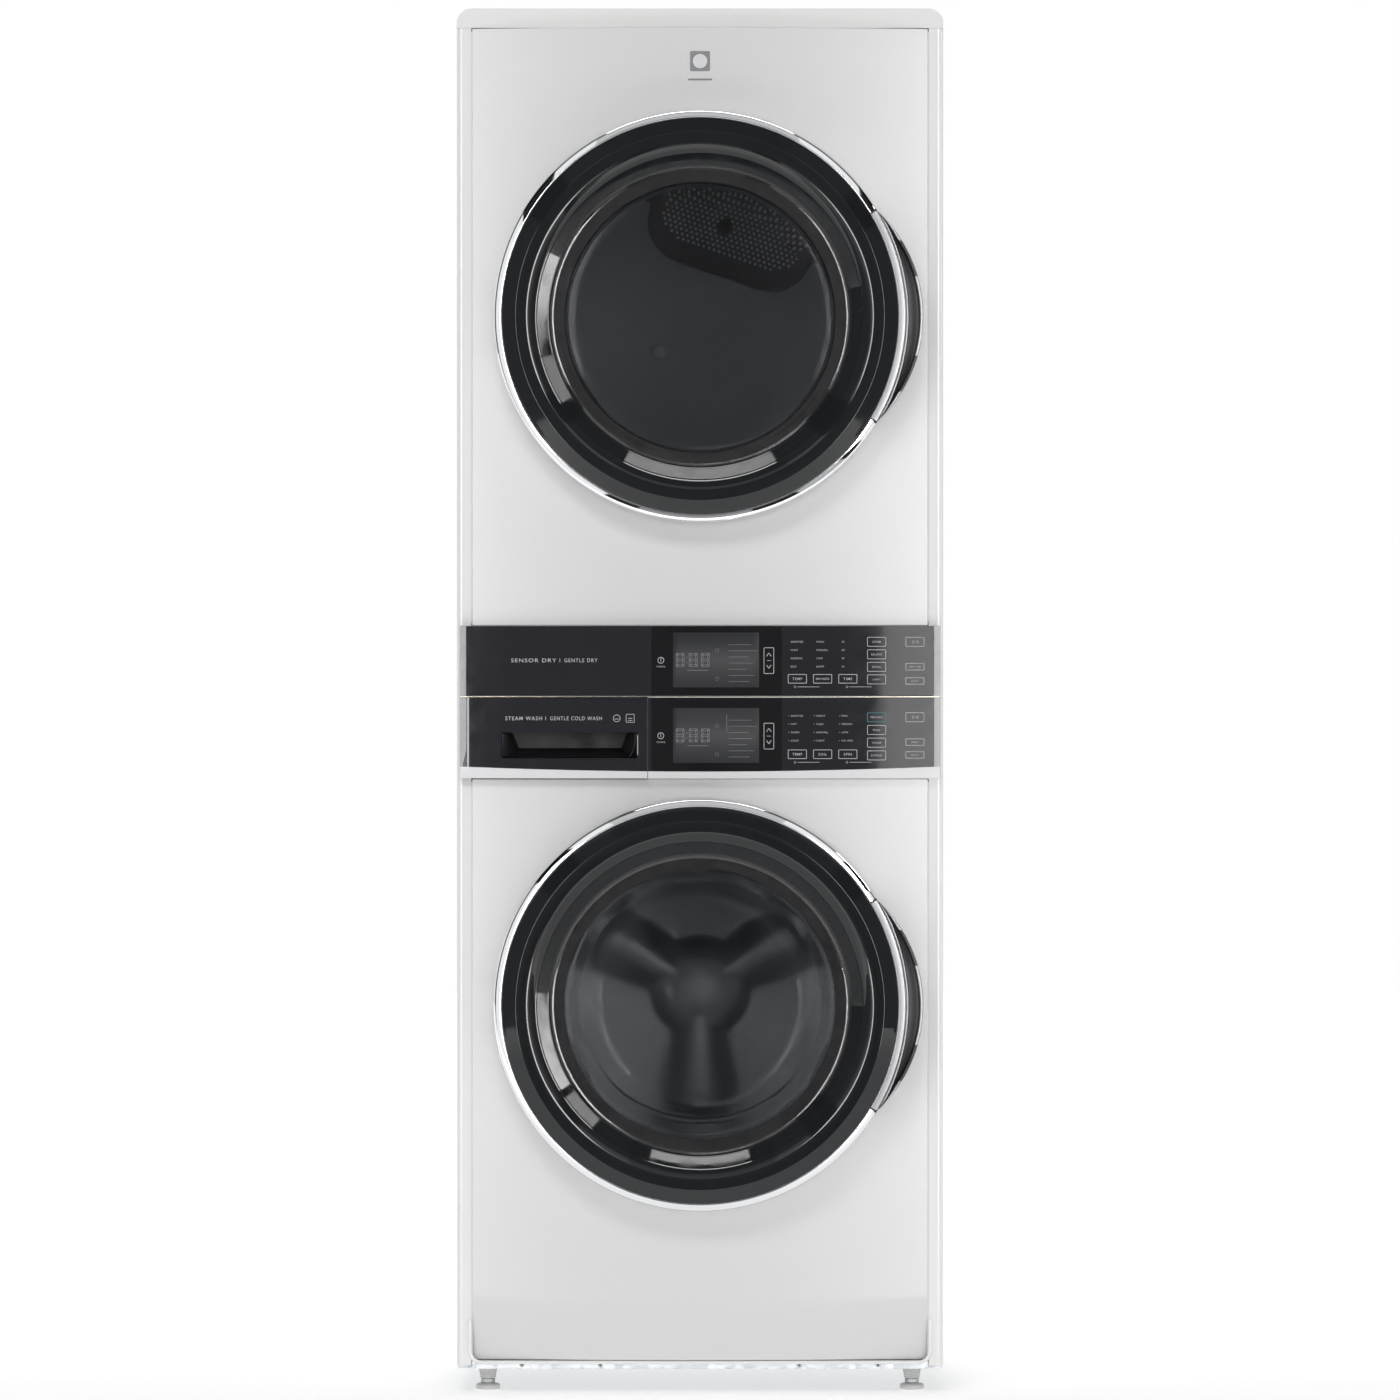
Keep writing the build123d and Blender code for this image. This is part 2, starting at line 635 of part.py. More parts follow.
# ================================================================ doors
def make_ring(z, name):
    """Chrome ring: a rounded face and an outer wall, notched at the hinge's two ears."""
    inner = DOOR_RADIUS - RING_FACE
    with BuildPart() as ring:
        with BuildSketch(Plane.XY.offset(z)):
            outline(
                (inner, ring_front),
                (DOOR_RADIUS, ring_front),
                (DOOR_RADIUS, door_back),
                (DOOR_RADIUS - RING_WALL, door_back),
                (DOOR_RADIUS - RING_WALL, ring_front + RING_WALL),
                (inner, ring_front + RING_WALL),
            )
            rim = vertices().group_by(Axis.Y)[0].sort_by(Axis.X)[-1]
            fillet(rim, RING_WALL - 0.5)
        spin(z)
        notch = frame_front + RING_WALL + GAP
        for side in (-1, 1):
            ends = sorted((side * (EAR_INNER - 1), side * (EAR_OUTER + 1)))
            block(
                -DOOR_RADIUS - 5, hinge_x, notch, door_back + 1, z + ends[0], z + ends[1], Mode.SUBTRACT
            )
    save(ring, name)


def make_frame(z, name):
    """Door frame: back plate, rim and inner wall, a pocket for the hinge and the latch's strike."""
    outer = frame_outer
    wall = RING_WALL
    flange = DOOR_RADIUS - RING_FACE - 10
    back_of_lens = front_most + WINDOW_RECESS + LENS_SHEET
    behind = frame_front + wall
    with BuildPart() as frame:
        with BuildSketch(Plane.XY.offset(z)):
            outline(
                (glass_neck + 1, door_back),
                (outer, door_back),
                (outer, frame_front),
                (flange, frame_front),
                (flange, behind),
                (outer - wall, behind),
                (outer - wall, frame_floor),
                (glass_flange + 1 + wall, frame_floor),
                (glass_flange + 1 + wall, back_of_lens + 4),
                (glass_flange + 1, back_of_lens + 4),
                (glass_flange + 1, frame_floor),
                (glass_neck + 1, frame_floor),
            )
        spin(z)
        size = outer + hinge_pocket_x
        half = HINGE_POCKET_HALF
        with BuildSketch(front_plane(behind - wall / 2, 0, z)):
            Circle(outer - wall / 2)
            with Locations((hinge_pocket_x - size / 2 + 2, 0)):
                Rectangle(size + 4, 2 * half + 2 * wall, mode=Mode.INTERSECT)
        extrude(amount=-(door_back - behind + wall / 2))
        with BuildSketch(front_plane(behind, 0, z)):
            with Locations((hinge_pocket_x - size / 2 - 2, 0)):
                Rectangle(size + 4, 2 * half)
        extrude(amount=-(door_back - behind + 1), mode=Mode.SUBTRACT)
        tip = door_back + STRIKE_DEPTH
        block(latch_x - 2, latch_x + 2, frame_floor, tip, z - 8, z + 8)
        block(latch_x - 3, latch_x + 3, tip - 13, tip - 4, z - 5, z + 5, Mode.SUBTRACT)
    save(frame, name)


def make_lens(z, name):
    """Smoked outer lens: a raised band round a recessed window."""
    front = front_most
    rim = DOOR_RADIUS - RING_FACE - GAP
    window = front_most + WINDOW_RECESS
    sheet = LENS_SHEET
    with BuildPart() as lens:
        with BuildSketch(Plane.XY.offset(z)):
            outline(
                (0, window),
                (window_radius - 4, window),
                (window_radius, window - 2),
                (crest_inner - 10, front + 5),
                (crest_inner, front),
                (crest_outer, front),
                (rim, ring_front),
                (rim, frame_front - GAP),
                (rim - 6, frame_front - GAP),
                (crest_outer - 1, front + sheet),
                (crest_inner + 2, front + sheet),
                (crest_inner - 7, front + sheet + 4),
                (window_radius + 3, window + sheet - 1),
                (window_radius - 3, window + sheet),
                (0, window + sheet),
            )
        spin(z)
    save(lens, name)


def make_glass(z, bowl, name):
    """Inner glass bowl held by its flange."""
    narrowing, depth = bowl
    tip_radius = glass_neck - narrowing
    tip = door_back + depth
    seat = frame_floor - GAP
    wall = GLASS_WALL
    with BuildPart() as glass:
        with BuildSketch(Plane.XY.offset(z)):
            outline(
                (glass_flange, seat - wall),
                (glass_flange, seat),
                (glass_neck - 0.5, seat),
                (glass_neck - 0.5, door_back + 1),
                (tip_radius, tip),
                (0, tip),
                (0, tip - wall),
                (tip_radius - 3, tip - wall),
                (glass_neck - wall - 1, seat - wall),
            )
        spin(z)
    save(glass, name)


def make_grip(z, name):
    """Handle: a crescent outside the ring with a finger pocket behind its rim."""
    shoulder_x = sqrt(DOOR_RADIUS**2 - GRIP_SHOULDER**2)
    reach = grip_reach - shoulder_x
    radius = (reach**2 + GRIP_SHOULDER**2) / (2 * reach)
    middle = grip_reach - radius
    inner = DOOR_RADIUS + GAP
    front = ring_front + GRIP_SETBACK
    with BuildPart() as grip:
        with BuildSketch(front_plane(front, 0, z)):
            with Locations((middle, 0)):
                Circle(radius)
            Circle(inner, mode=Mode.SUBTRACT)
        extrude(amount=-(door_back - front))
        with BuildSketch(front_plane(front, 0, z)):
            with Locations((middle, 0)):
                Circle(radius - GRIP_RIM)
            Circle(inner + RING_WALL, mode=Mode.SUBTRACT)
        extrude(amount=-POCKET_DEPTH, mode=Mode.SUBTRACT)
    save(grip, name)


def make_hinge(z, name):
    """Moving hinge leaf: a knuckle on the pin, a web, and a plate screwed inside the frame."""
    plate_x = hinge_pocket_x - GAP
    with BuildPart() as hinge:
        with BuildSketch(Plane.XY.offset(z - KNUCKLE_HALF)):
            with Locations((hinge_x, hinge_y)):
                Circle(KNUCKLE_RADIUS)
            with Locations(((hinge_x + plate_x) / 2, hinge_y)):
                Rectangle(plate_x - hinge_x, 6)
            with Locations((plate_x - 2, hinge_y + 3)):
                Rectangle(4, 28)
            with Locations((hinge_x, hinge_y)):
                Circle(PIN_RADIUS + RUNNING, mode=Mode.SUBTRACT)
        extrude(amount=2 * KNUCKLE_HALF)
    save(hinge, name)


def make_hinge_brackets():
    """Fixed brackets: a plate behind each front panel, two ears through its slots, and the pin."""
    back = surround_y + 1
    with BuildPart() as brackets:
        for z in (DRYER_AXIS_Z, WASHER_AXIS_Z):
            block(hinge_x - 20, hinge_x + 20, back - 3, back, z - EAR_OUTER - 8, z + EAR_OUTER + 8)
            for low in (z + EAR_INNER, z - EAR_OUTER):
                with BuildSketch(Plane.XY.offset(low)):
                    with Locations((hinge_x, hinge_y)):
                        Circle(KNUCKLE_RADIUS)
                    with Locations((hinge_x, (hinge_y + back) / 2)):
                        Rectangle(EAR_THICKNESS, back - hinge_y)
                extrude(amount=EAR_OUTER - EAR_INNER)
            with BuildSketch(Plane.XY.offset(z - EAR_INNER)):
                with Locations((hinge_x, hinge_y)):
                    Circle(PIN_RADIUS)
            extrude(amount=2 * EAR_INNER)
    save(brackets, "hinge_brackets")


def make_catches():
    """The washer's door lock and the dryer's spring catch, behind their front panels."""
    near = arc_y(latch_x + 18, crown_y, panel_arc) + SHEET + GAP
    tip = door_back + STRIKE_DEPTH
    with BuildPart() as catches:
        for z, far in ((WASHER_AXIS_Z, near + 40), (DRYER_AXIS_Z, near + 24)):
            block(latch_x - 17, latch_x + 17, near, far, z - 30, z + 30)
            block(latch_x - 11, latch_x + 11, near - 1, tip + 6, z - 12, z + 12, Mode.SUBTRACT)
    save(catches, "door_catches")


def make_door(prefix, z, bowl):
    """All the pieces of one door."""
    make_frame(z, f"{prefix}_door_frame")
    make_ring(z, f"{prefix}_door_ring")
    make_lens(z, f"{prefix}_door_lens")
    make_glass(z, bowl, f"{prefix}_door_glass")
    make_grip(z, f"{prefix}_door_grip")
    make_hinge(z, f"{prefix}_door_hinge")


# ================================================================ washer
def belt_loop(first, first_radius, second, second_radius, y, width, name):
    """Belt stretched round two pulleys: the hull of two circles less the hull inside it."""
    with BuildPart() as belt:
        for extra, mode in ((BELT_THICKNESS, Mode.ADD), (0, Mode.SUBTRACT)):
            with BuildSketch(front_plane(y - width / 2)):
                with Locations(first):
                    Circle(first_radius + GAP + extra)
                with Locations(second):
                    Circle(second_radius + GAP + extra)
                make_hull()
            extrude(amount=-width, mode=mode)
    save(belt, name)


def make_bellows():
    """Rubber door seal folded between the porthole and the tub's neck."""
    port = port_radius - GAP
    neck = tub_neck + GAP
    wall = BELLOWS_WALL
    front = edge_y - 9
    tub_lip = TUB_FRONT - TUB_NECK_LENGTH
    with BuildPart() as bellows:
        with BuildSketch(Plane.XY.offset(WASHER_AXIS_Z)):
            outline(
                (port - 26, front + 10),
                (port - 26, front + 7),
                (port - 10, front),
                (port, front),
                (port, tub_lip + 12),
                (neck + wall, tub_lip + 12),
                (neck, tub_lip + 12),
                (neck, tub_lip - 1),
                (port - 16, tub_lip - 1),
                (port - 16, tub_lip - 4),
                (port - wall, tub_lip - 4),
                (port - wall, tub_lip - 10),
                (port - 18, tub_lip - 14),
                (port - 18, tub_lip - 17),
                (port - wall, tub_lip - 15),
                (port - wall, front + wall),
                (port - 10, front + wall),
            )
        spin(WASHER_AXIS_Z)
    save(bellows, "door_bellows")


def make_tub_front():
    """Front half of the outer tub, with the neck that takes the bellows."""
    neck = tub_neck - BELLOWS_WALL
    with BuildPart() as tub:
        with BuildSketch(Plane.XY.offset(WASHER_AXIS_Z)):
            outline(
                (neck, TUB_FRONT - TUB_NECK_LENGTH),
                (tub_neck, TUB_FRONT - TUB_NECK_LENGTH),
                (tub_neck, TUB_FRONT),
                (tub_outer, TUB_FRONT),
                (tub_outer, TUB_SEAM_Y - TUB_RIM),
                (tub_outer + TUB_RIM, TUB_SEAM_Y - TUB_RIM),
                (tub_outer + TUB_RIM, TUB_SEAM_Y),
                (tub_inner, TUB_SEAM_Y),
                (tub_inner, TUB_FRONT + TUB_WALL),
                (neck, TUB_FRONT + TUB_WALL),
            )
        spin(WASHER_AXIS_Z)
    save(tub, "outer_tub_front")


def make_tub_rear():
    """Rear half of the outer tub, with the bearing boss, ribs and the suspension's lugs."""
    seam = TUB_SEAM_Y + GAP
    bore = SHAFT_RADIUS + RUNNING
    z = WASHER_AXIS_Z
    spring_z = z + sqrt(tub_outer**2 - SPRING_X**2)
    damper_z = z - sqrt(tub_outer**2 - DAMPER_X**2)
    with BuildPart() as tub:
        with BuildSketch(Plane.XY.offset(z)):
            outline(
                (tub_inner, seam),
                (tub_outer + TUB_RIM, seam),
                (tub_outer + TUB_RIM, seam + TUB_RIM),
                (tub_outer, seam + TUB_RIM),
                (tub_outer, TUB_BACK),
                (HUB_RADIUS, TUB_BACK),
                (HUB_RADIUS, TUB_BACK + BOSS_LENGTH),
                (bore, TUB_BACK + BOSS_LENGTH),
                (bore, TUB_BACK - TUB_WALL),
                (tub_inner, TUB_BACK - TUB_WALL),
            )
        spin(z)
        with BuildSketch(front_plane(TUB_BACK - 1, 0, z)):
            with PolarLocations((HUB_RADIUS + tub_outer) / 2, 6):
                Rectangle(tub_outer - HUB_RADIUS - 10, 8)
        extrude(amount=-16)
        for side in (-1, 1):
            x = side * SPRING_X
            block(x - 14, x + 14, SPRING_Y - 3, SPRING_Y + 3, spring_z - 8, spring_z + 42)
            x = side * DAMPER_X
            block(x - 14, x + 14, SPRING_Y - 3, SPRING_Y + 3, damper_z - 30, damper_z + 4)
        rod(0, z, tub_inner, seam, TUB_BACK - TUB_WALL, Mode.SUBTRACT)
    save(tub, "outer_tub_rear")


def make_suspension():
    """Two close-wound springs above the tub and two friction dampers below it."""
    z = WASHER_AXIS_Z
    low = z + sqrt(tub_outer**2 - SPRING_X**2) + 42 + GAP
    high = SHELF_Z - INNER_SHEET - STRAP_LENGTH - GAP
    turns = int((high - low) / SPRING_WIRE)
    wire = (high - low) / turns
    damper_top = z - sqrt(tub_outer**2 - DAMPER_X**2) - 30 - GAP
    damper_low = FOOT_GAP + INNER_SHEET
    with BuildPart() as suspension:
        for x in (-SPRING_X, SPRING_X):
            plane = Plane(origin=(x, SPRING_Y, low), x_dir=(1, 0, 0), z_dir=(0, -1, 0))
            with BuildSketch(plane):
                with BuildLine():
                    Line((0, 0), (SPRING_RADIUS, 0))
                    for i in range(turns):
                        start = (SPRING_RADIUS, i * wire)
                        end = (SPRING_RADIUS, (i + 1) * wire)
                        ThreePointArc(start, (SPRING_RADIUS + wire / 3, (i + 0.5) * wire), end)
                    Line((SPRING_RADIUS, turns * wire), (0, turns * wire))
                    Line((0, turns * wire), (0, 0))
                make_face()
            revolve(axis=Axis((x, SPRING_Y, low), (0, 0, 1)))
        for x in (-DAMPER_X, DAMPER_X):
            for radius, start, end in (
                (13, damper_low, damper_low + 120),
                (6, damper_low + 120, damper_top),
            ):
                with BuildSketch(Plane.XY.offset(start)):
                    with Locations((x, SPRING_Y)):
                        Circle(radius)
                extrude(amount=end - start)
    save(suspension, "tub_suspension")


def make_counterweights():
    """Concrete weights: a saddle on top of the tub and a crescent under its neck."""
    width, depth, height = UPPER_WEIGHT
    z = WASHER_AXIS_Z
    top = z + tub_outer + height
    near = SPRING_Y - 20
    port = port_radius + SHEET
    with BuildPart() as weights:
        block(-width / 2, width / 2, near, near + depth, z + tub_outer * 0.8, top)
        rod(0, z, tub_outer + GAP, near - 1, near + depth + 1, Mode.SUBTRACT)
        with BuildSketch(front_plane(TUB_FRONT - GAP - 26, 0, z)):
            Circle(tub_outer - 2)
            with Locations((0, -tub_outer / 2 - 35)):
                Rectangle(2 * tub_outer, tub_outer - 70, mode=Mode.INTERSECT)
            Circle(port + 4, mode=Mode.SUBTRACT)
        extrude(amount=-26)
    save(weights, "counterweights")


def make_washer_motor():
    """Drive motor slung under the tub by two cradle plates."""
    x, z = washer_motor
    bore = MOTOR_SHAFT_RADIUS + RUNNING
    near, far = 60, 262
    with BuildPart() as motor:
        rod(x, z, WASHER_MOTOR_RADIUS, near, far)
        for y in (near + 30, far - 36):
            block(x - 25, x + 25, y, y + 6, z, z + 130)
        rod(0, WASHER_AXIS_Z, tub_outer + GAP, near, far + 1, Mode.SUBTRACT)
        rod(x, z, bore, far - 30, far + 1, Mode.SUBTRACT)
    save(motor, "washer_motor")


def make_motor_pulley():
    """Washer motor's shaft end with its small pulley."""
    x, z = washer_motor
    near = PULLEY_Y - PULLEY_WIDTH / 2
    with BuildPart() as pulley:
        rod(x, z, MOTOR_SHAFT_RADIUS, 262 - 29, near)
        rod(x, z, MOTOR_PULLEY_RADIUS, near, near + PULLEY_WIDTH)
        for y in (near - 2, near + PULLEY_WIDTH):
            rod(x, z, MOTOR_PULLEY_RADIUS + 4, y, y + 2)
    save(pulley, "washer_motor_pulley")


def make_drum_pulley():
    """Large drum pulley: rim, six spokes and hub."""
    near = PULLEY_Y - PULLEY_WIDTH / 2
    z = WASHER_AXIS_Z
    with BuildPart() as pulley:
        rod(0, z, PULLEY_RADIUS, near, near + PULLEY_WIDTH)
        rod(0, z, PULLEY_RADIUS - 9, near, near + PULLEY_WIDTH, Mode.SUBTRACT)
        rod(0, z, 32, near - 3, near + PULLEY_WIDTH + 1)
        with BuildSketch(front_plane(near + 4, 0, z)):
            with PolarLocations((PULLEY_RADIUS + 20) / 2, 6):
                Rectangle(PULLEY_RADIUS - 30, 14)
        extrude(amount=-6)
        rod(0, z, SHAFT_RADIUS + RUNNING, near - 5, near + PULLEY_WIDTH + 5, Mode.SUBTRACT)
    save(pulley, "washer_drum_pulley")


def make_spider():
    """Three-armed casting behind the drum, with the drum's shaft."""
    z = WASHER_AXIS_Z
    near = DRUM_BACK + GAP
    with BuildPart() as spider:
        rod(0, z, HUB_RADIUS, near, TUB_BACK - TUB_WALL - 4)
        with BuildSketch(front_plane(near, 0, z)):
            with PolarLocations(DRUM_RADIUS / 2, 3, 90):
                Rectangle(DRUM_RADIUS - 12, 34)
        extrude(amount=-14)
        rod(0, z, SHAFT_RADIUS, near, PULLEY_Y + PULLEY_WIDTH)
    save(spider, "washer_drum_spider")


def make_shell(z, radius, near, far, mouth, sheet, closed, name):
    """Rolled drum with a lipped mouth, closed or open at its back."""
    points = [
        (mouth, near),
        (radius, near),
        (radius, far),
    ]
    if closed:
        points += [(0, far), (0, far - sheet), (radius - sheet, far - sheet)]
    else:
        points += [(radius - sheet, far)]
    points += [
        (radius - sheet, near + sheet),
        (mouth + sheet, near + sheet),
        (mouth + sheet, near + 8),
        (mouth, near + 8),
    ]
    with BuildPart() as shell:
        with BuildSketch(Plane.XY.offset(z)):
            outline(*points)
        spin(z)
    save(shell, name)


def make_baffles(z, radius, sizes, near, far, name):
    """Lifters spaced round the inside of a drum."""
    height, half = sizes
    base = radius - GAP
    with BuildSketch() as section:
        outline(
            (base - height, -half / 4),
            (base - height, half / 4),
            (base - 6, half),
            (base + 20, half),
            (base + 20, -half),
            (base - 6, -half),
        )
    with BuildPart() as baffles:
        with BuildSketch(front_plane(near, 0, z)):
            for i in range(BAFFLE_COUNT):
                add(section.sketch, rotation=90 + i * 360 / BAFFLE_COUNT)
            Circle(base, mode=Mode.INTERSECT)
        extrude(amount=-(far - near))
    save(baffles, name)


def make_valves():
    """Hot and cold water inlet valves with their threaded tails through the back."""
    first, last = INLET_X
    with BuildPart() as valves:
        block(first - 16, last + 16, rear_inner - 40, rear_inner - FIT, INLET_Z - 18, INLET_Z + 18)
        for x in INLET_X:
            rod(x, INLET_Z, INLET_RADIUS + TAIL_SHOULDER, rear_inner - 1, rear_y)
            rod(x, INLET_Z, INLET_RADIUS, rear_y, rear_y + INLET_LENGTH)
            rod(x, INLET_Z, INLET_RADIUS - 3.5, rear_y, rear_y + INLET_LENGTH + 1, Mode.SUBTRACT)
    save(valves, "water_inlet_valves")


def make_pump():
    """Drain pump on the base, and its hose to the spigot at the back."""
    near = -250
    floor = FOOT_GAP + INNER_SHEET
    with BuildPart() as pump:
        block(DRAIN_X - 75, DRAIN_X + 35, near, near + 90, floor, floor + 20)
        rod(DRAIN_X - 20, floor + 50, 42, near, near + 80)
        rod(DRAIN_X, DRAIN_Z, DRAIN_RADIUS + TAIL_SHOULDER, near + 80, rear_y)
        rod(DRAIN_X, DRAIN_Z, DRAIN_RADIUS, rear_y, rear_y + DRAIN_LENGTH)
        rod(DRAIN_X, DRAIN_Z, DRAIN_RADIUS - 3, rear_y, rear_y + DRAIN_LENGTH + 1, Mode.SUBTRACT)
    save(pump, "drain_pump")


# ================================================================ dryer
def make_front_bulkhead():
    """Front bulkhead: door tunnel, the drum's front bearing ring and the lint filter's duct."""
    z = DRYER_AXIS_Z
    y = FRONT_BULKHEAD_Y
    half = inner_half - GAP
    tunnel = port_radius - FIT
    bearing = dryer_mouth - 3
    duct = LINT_HALF_WIDTH + 4.5
    near = LINT_Y - LINT_THICKNESS / 2 - 5
    far = LINT_Y + LINT_THICKNESS / 2 + 5
    motor_x, motor_z = DRYER_MOTOR
    foot = LINT_BOTTOM - 60
    with BuildPart() as bulkhead:
        block(-half, half, y, y + INNER_SHEET, SHELF_Z + GAP, crown_z - 2)
        rod(0, z, tunnel, edge_y - 8, y + INNER_SHEET)
        rod(0, z, bearing, y, DRYER_DRUM_FRONT + 10)
        block(-duct, duct, near, far, foot + 100, z - tunnel + 30)
        block(motor_x - 70, duct, near, y, foot, foot + 120)
        rod(0, z, tunnel - 2.5, edge_y - 9, DRYER_DRUM_FRONT + 11, Mode.SUBTRACT)
        wall = 2.5
        block(
            motor_x - 70 + wall,
            duct - wall,
            near + wall,
            y,
            foot + wall,
            foot + 120 - wall,
            Mode.SUBTRACT,
        )
        slot = LINT_HALF_WIDTH + FIT
        room = LINT_THICKNESS / 2 + 1.5
        block(-slot, slot, LINT_Y - room, LINT_Y + room, foot + 60, z - tunnel + 80, Mode.SUBTRACT)
        rod(motor_x, motor_z, BLOWER_INLET, y - 1, y + INNER_SHEET + 1, Mode.SUBTRACT)
    save(bulkhead, "dryer_front_bulkhead")


def roller_place(side):
    """Middle of a drum roller, as x and z."""
    reach = DRYER_DRUM_RADIUS + ROLLER_RADIUS + GAP
    angle = radians(ROLLER_ANGLE)
    return (side * reach * sin(angle), DRYER_AXIS_Z - reach * cos(angle))


def make_rear_bulkhead():
    """Rear bulkhead: a pressed pan that closes the drum, its warm-air inlet and the roller axles."""
    z = DRYER_AXIS_Z
    half = inner_half - GAP
    y = REAR_BULKHEAD_Y
    pan = DRYER_DRUM_RADIUS - INNER_SHEET - 1.5
    sheet = INNER_SHEET
    with BuildPart() as bulkhead:
        block(-half, half, y, y + sheet, SHELF_Z + GAP, crown_z - 2)
        rod(0, z, pan, pan_y, y + sheet)
        rod(0, z, pan - sheet, pan_y + sheet, y + sheet + 1, Mode.SUBTRACT)
        with BuildSketch(front_plane(pan_y - 1)):
            with Locations(AIR_INLET):
                SlotOverall(*AIR_INLET_SIZE, rotation=AIR_INLET_TILT)
        extrude(amount=-(sheet + 2), mode=Mode.SUBTRACT)
        rod(exhaust_x, exhaust_z, EXHAUST_RADIUS + 2, y - 1, y + sheet + 1, Mode.SUBTRACT)
        for side in (-1, 1):
            x, axle_z = roller_place(side)
            near = ROLLER_Y - ROLLER_WIDTH / 2
            far = ROLLER_Y + ROLLER_WIDTH / 2
            rod(x, axle_z, MOTOR_SHAFT_RADIUS, near - 4, y)
            rod(x, axle_z, MOTOR_SHAFT_RADIUS + 3, far + FIT, y)
            rod(x, axle_z, MOTOR_SHAFT_RADIUS + 2, near - 4, near - FIT)
    save(bulkhead, "dryer_rear_bulkhead")


def make_roller(side, name):
    """Drum roller, free on its axle."""
    x, z = roller_place(side)
    near = ROLLER_Y - ROLLER_WIDTH / 2
    with BuildPart() as roller:
        rod(x, z, ROLLER_RADIUS, near, near + ROLLER_WIDTH)
        rod(x, z, MOTOR_SHAFT_RADIUS + RUNNING, near, near + ROLLER_WIDTH, Mode.SUBTRACT)
    save(roller, name)


def make_dryer_motor():
    """Motor that turns both the drum's belt and the blower, on its foot."""
    x, z = DRYER_MOTOR
    with BuildPart() as motor:
        rod(x, z, DRYER_MOTOR_RADIUS, -215, -60)
        block(x - 50, x + 50, -190, -85, SHELF_Z, z - 20)
        rod(x, z, MOTOR_SHAFT_RADIUS + RUNNING, -216, -59, Mode.SUBTRACT)
    save(motor, "dryer_motor")


def make_motor_shaft():
    """Dryer motor's shaft with the blower wheel in front and the belt pulley behind."""
    x, z = DRYER_MOTOR
    near = BLOWER_FRONT + 8
    far = BLOWER_BACK - 8
    with BuildPart() as shaft:
        rod(x, z, MOTOR_SHAFT_RADIUS, near, DRYER_BELT_Y + 13)
        rod(x, z, WHEEL_RADIUS, far - 3, far)
        with BuildSketch(front_plane(near + 2, x, z)):
            with PolarLocations(WHEEL_RADIUS - 9, 16):
                Rectangle(16, 2.5, rotation=30)
        extrude(amount=-(far - near - 3))
        rod(x, z, 14, far - 25, far)
        rod(x, z, DRYER_PULLEY_RADIUS, DRYER_BELT_Y - 8, DRYER_BELT_Y + 8)
    save(shaft, "dryer_motor_shaft")


def make_blower():
    """Blower housing: a drum round the wheel and a box that feeds the exhaust duct."""
    x, z = DRYER_MOTOR
    wall = BLOWER_WALL
    low, high = exhaust_z - outlet_half, exhaust_z + outlet_half
    right = exhaust_x + outlet_half
    with BuildPart() as blower:
        rod(x, z, BLOWER_RADIUS, BLOWER_FRONT, BLOWER_BACK)
        block(x, right, BLOWER_FRONT, BLOWER_BACK, low, high)
        rod(x, z, BLOWER_INLET + 6, FRONT_BULKHEAD_Y + INNER_SHEET + GAP, BLOWER_FRONT)
        rod(x, z, BLOWER_RADIUS - wall, BLOWER_FRONT + wall, BLOWER_BACK - wall, Mode.SUBTRACT)
        block(
            x,
            right - wall,
            BLOWER_FRONT + wall,
            BLOWER_BACK - wall,
            low + wall,
            high - wall,
            Mode.SUBTRACT,
        )
        rod(x, z, BLOWER_INLET, -300, BLOWER_FRONT + wall, Mode.SUBTRACT)
        rod(x, z, MOTOR_SHAFT_RADIUS + 2, BLOWER_BACK - wall - 1, BLOWER_BACK + 1, Mode.SUBTRACT)
        rod(exhaust_x, exhaust_z, EXHAUST_RADIUS - 2, BLOWER_BACK - 4, BLOWER_BACK + 1, Mode.SUBTRACT)
    save(blower, "blower_housing")


def make_exhaust():
    """Exhaust duct from the blower to the collar behind the rear panel."""
    near = BLOWER_BACK + GAP
    far = OVERALL_DEPTH / 2
    collar_radius = EXHAUST_RADIUS - EXHAUST_STEP
    with BuildPart() as duct:
        rod(exhaust_x, exhaust_z, EXHAUST_RADIUS, near, rear_y)
        rod(exhaust_x, exhaust_z, collar_radius, rear_y, far)
        rod(exhaust_x, exhaust_z, EXHAUST_RADIUS + 5, near, near + 3)
        rod(exhaust_x, exhaust_z, EXHAUST_RADIUS + 8, rear_inner - 3 - GAP, rear_inner - GAP)
        rod(exhaust_x, exhaust_z, collar_radius - SHEET, near - 1, far + 1, Mode.SUBTRACT)
    save(duct, "exhaust_duct")


def make_heater():
    """Heater box behind the drum's back wall, crossed by its element's rods."""
    near = pan_y + INNER_SHEET + GAP
    far = 330
    length, height = AIR_INLET_SIZE
    x, z = AIR_INLET
    tilt = radians(AIR_INLET_TILT)
    reach = height / 2 + 21
    with BuildPart() as heater:
        with BuildSketch(front_plane(near)):
            with Locations(AIR_INLET):
                SlotOverall(length + 44, height + 44, rotation=AIR_INLET_TILT)
        extrude(amount=-(far - near))
        with BuildSketch(front_plane(near)):
            with Locations(AIR_INLET):
                SlotOverall(length + 40, height + 40, rotation=AIR_INLET_TILT)
        extrude(amount=-(far - near - INNER_SHEET), mode=Mode.SUBTRACT)
        for offset in (-60, -20, 20, 60):
            start_x = x + offset * cos(tilt) + reach * sin(tilt)
            start_z = z + offset * sin(tilt) - reach * cos(tilt)
            start = Plane(
                origin=(start_x, (near + far) / 2, start_z), z_dir=(-sin(tilt), 0, cos(tilt))
            )
            with BuildSketch(start):
                Circle(3)
            extrude(amount=2 * reach)
    save(heater, "heater_box")


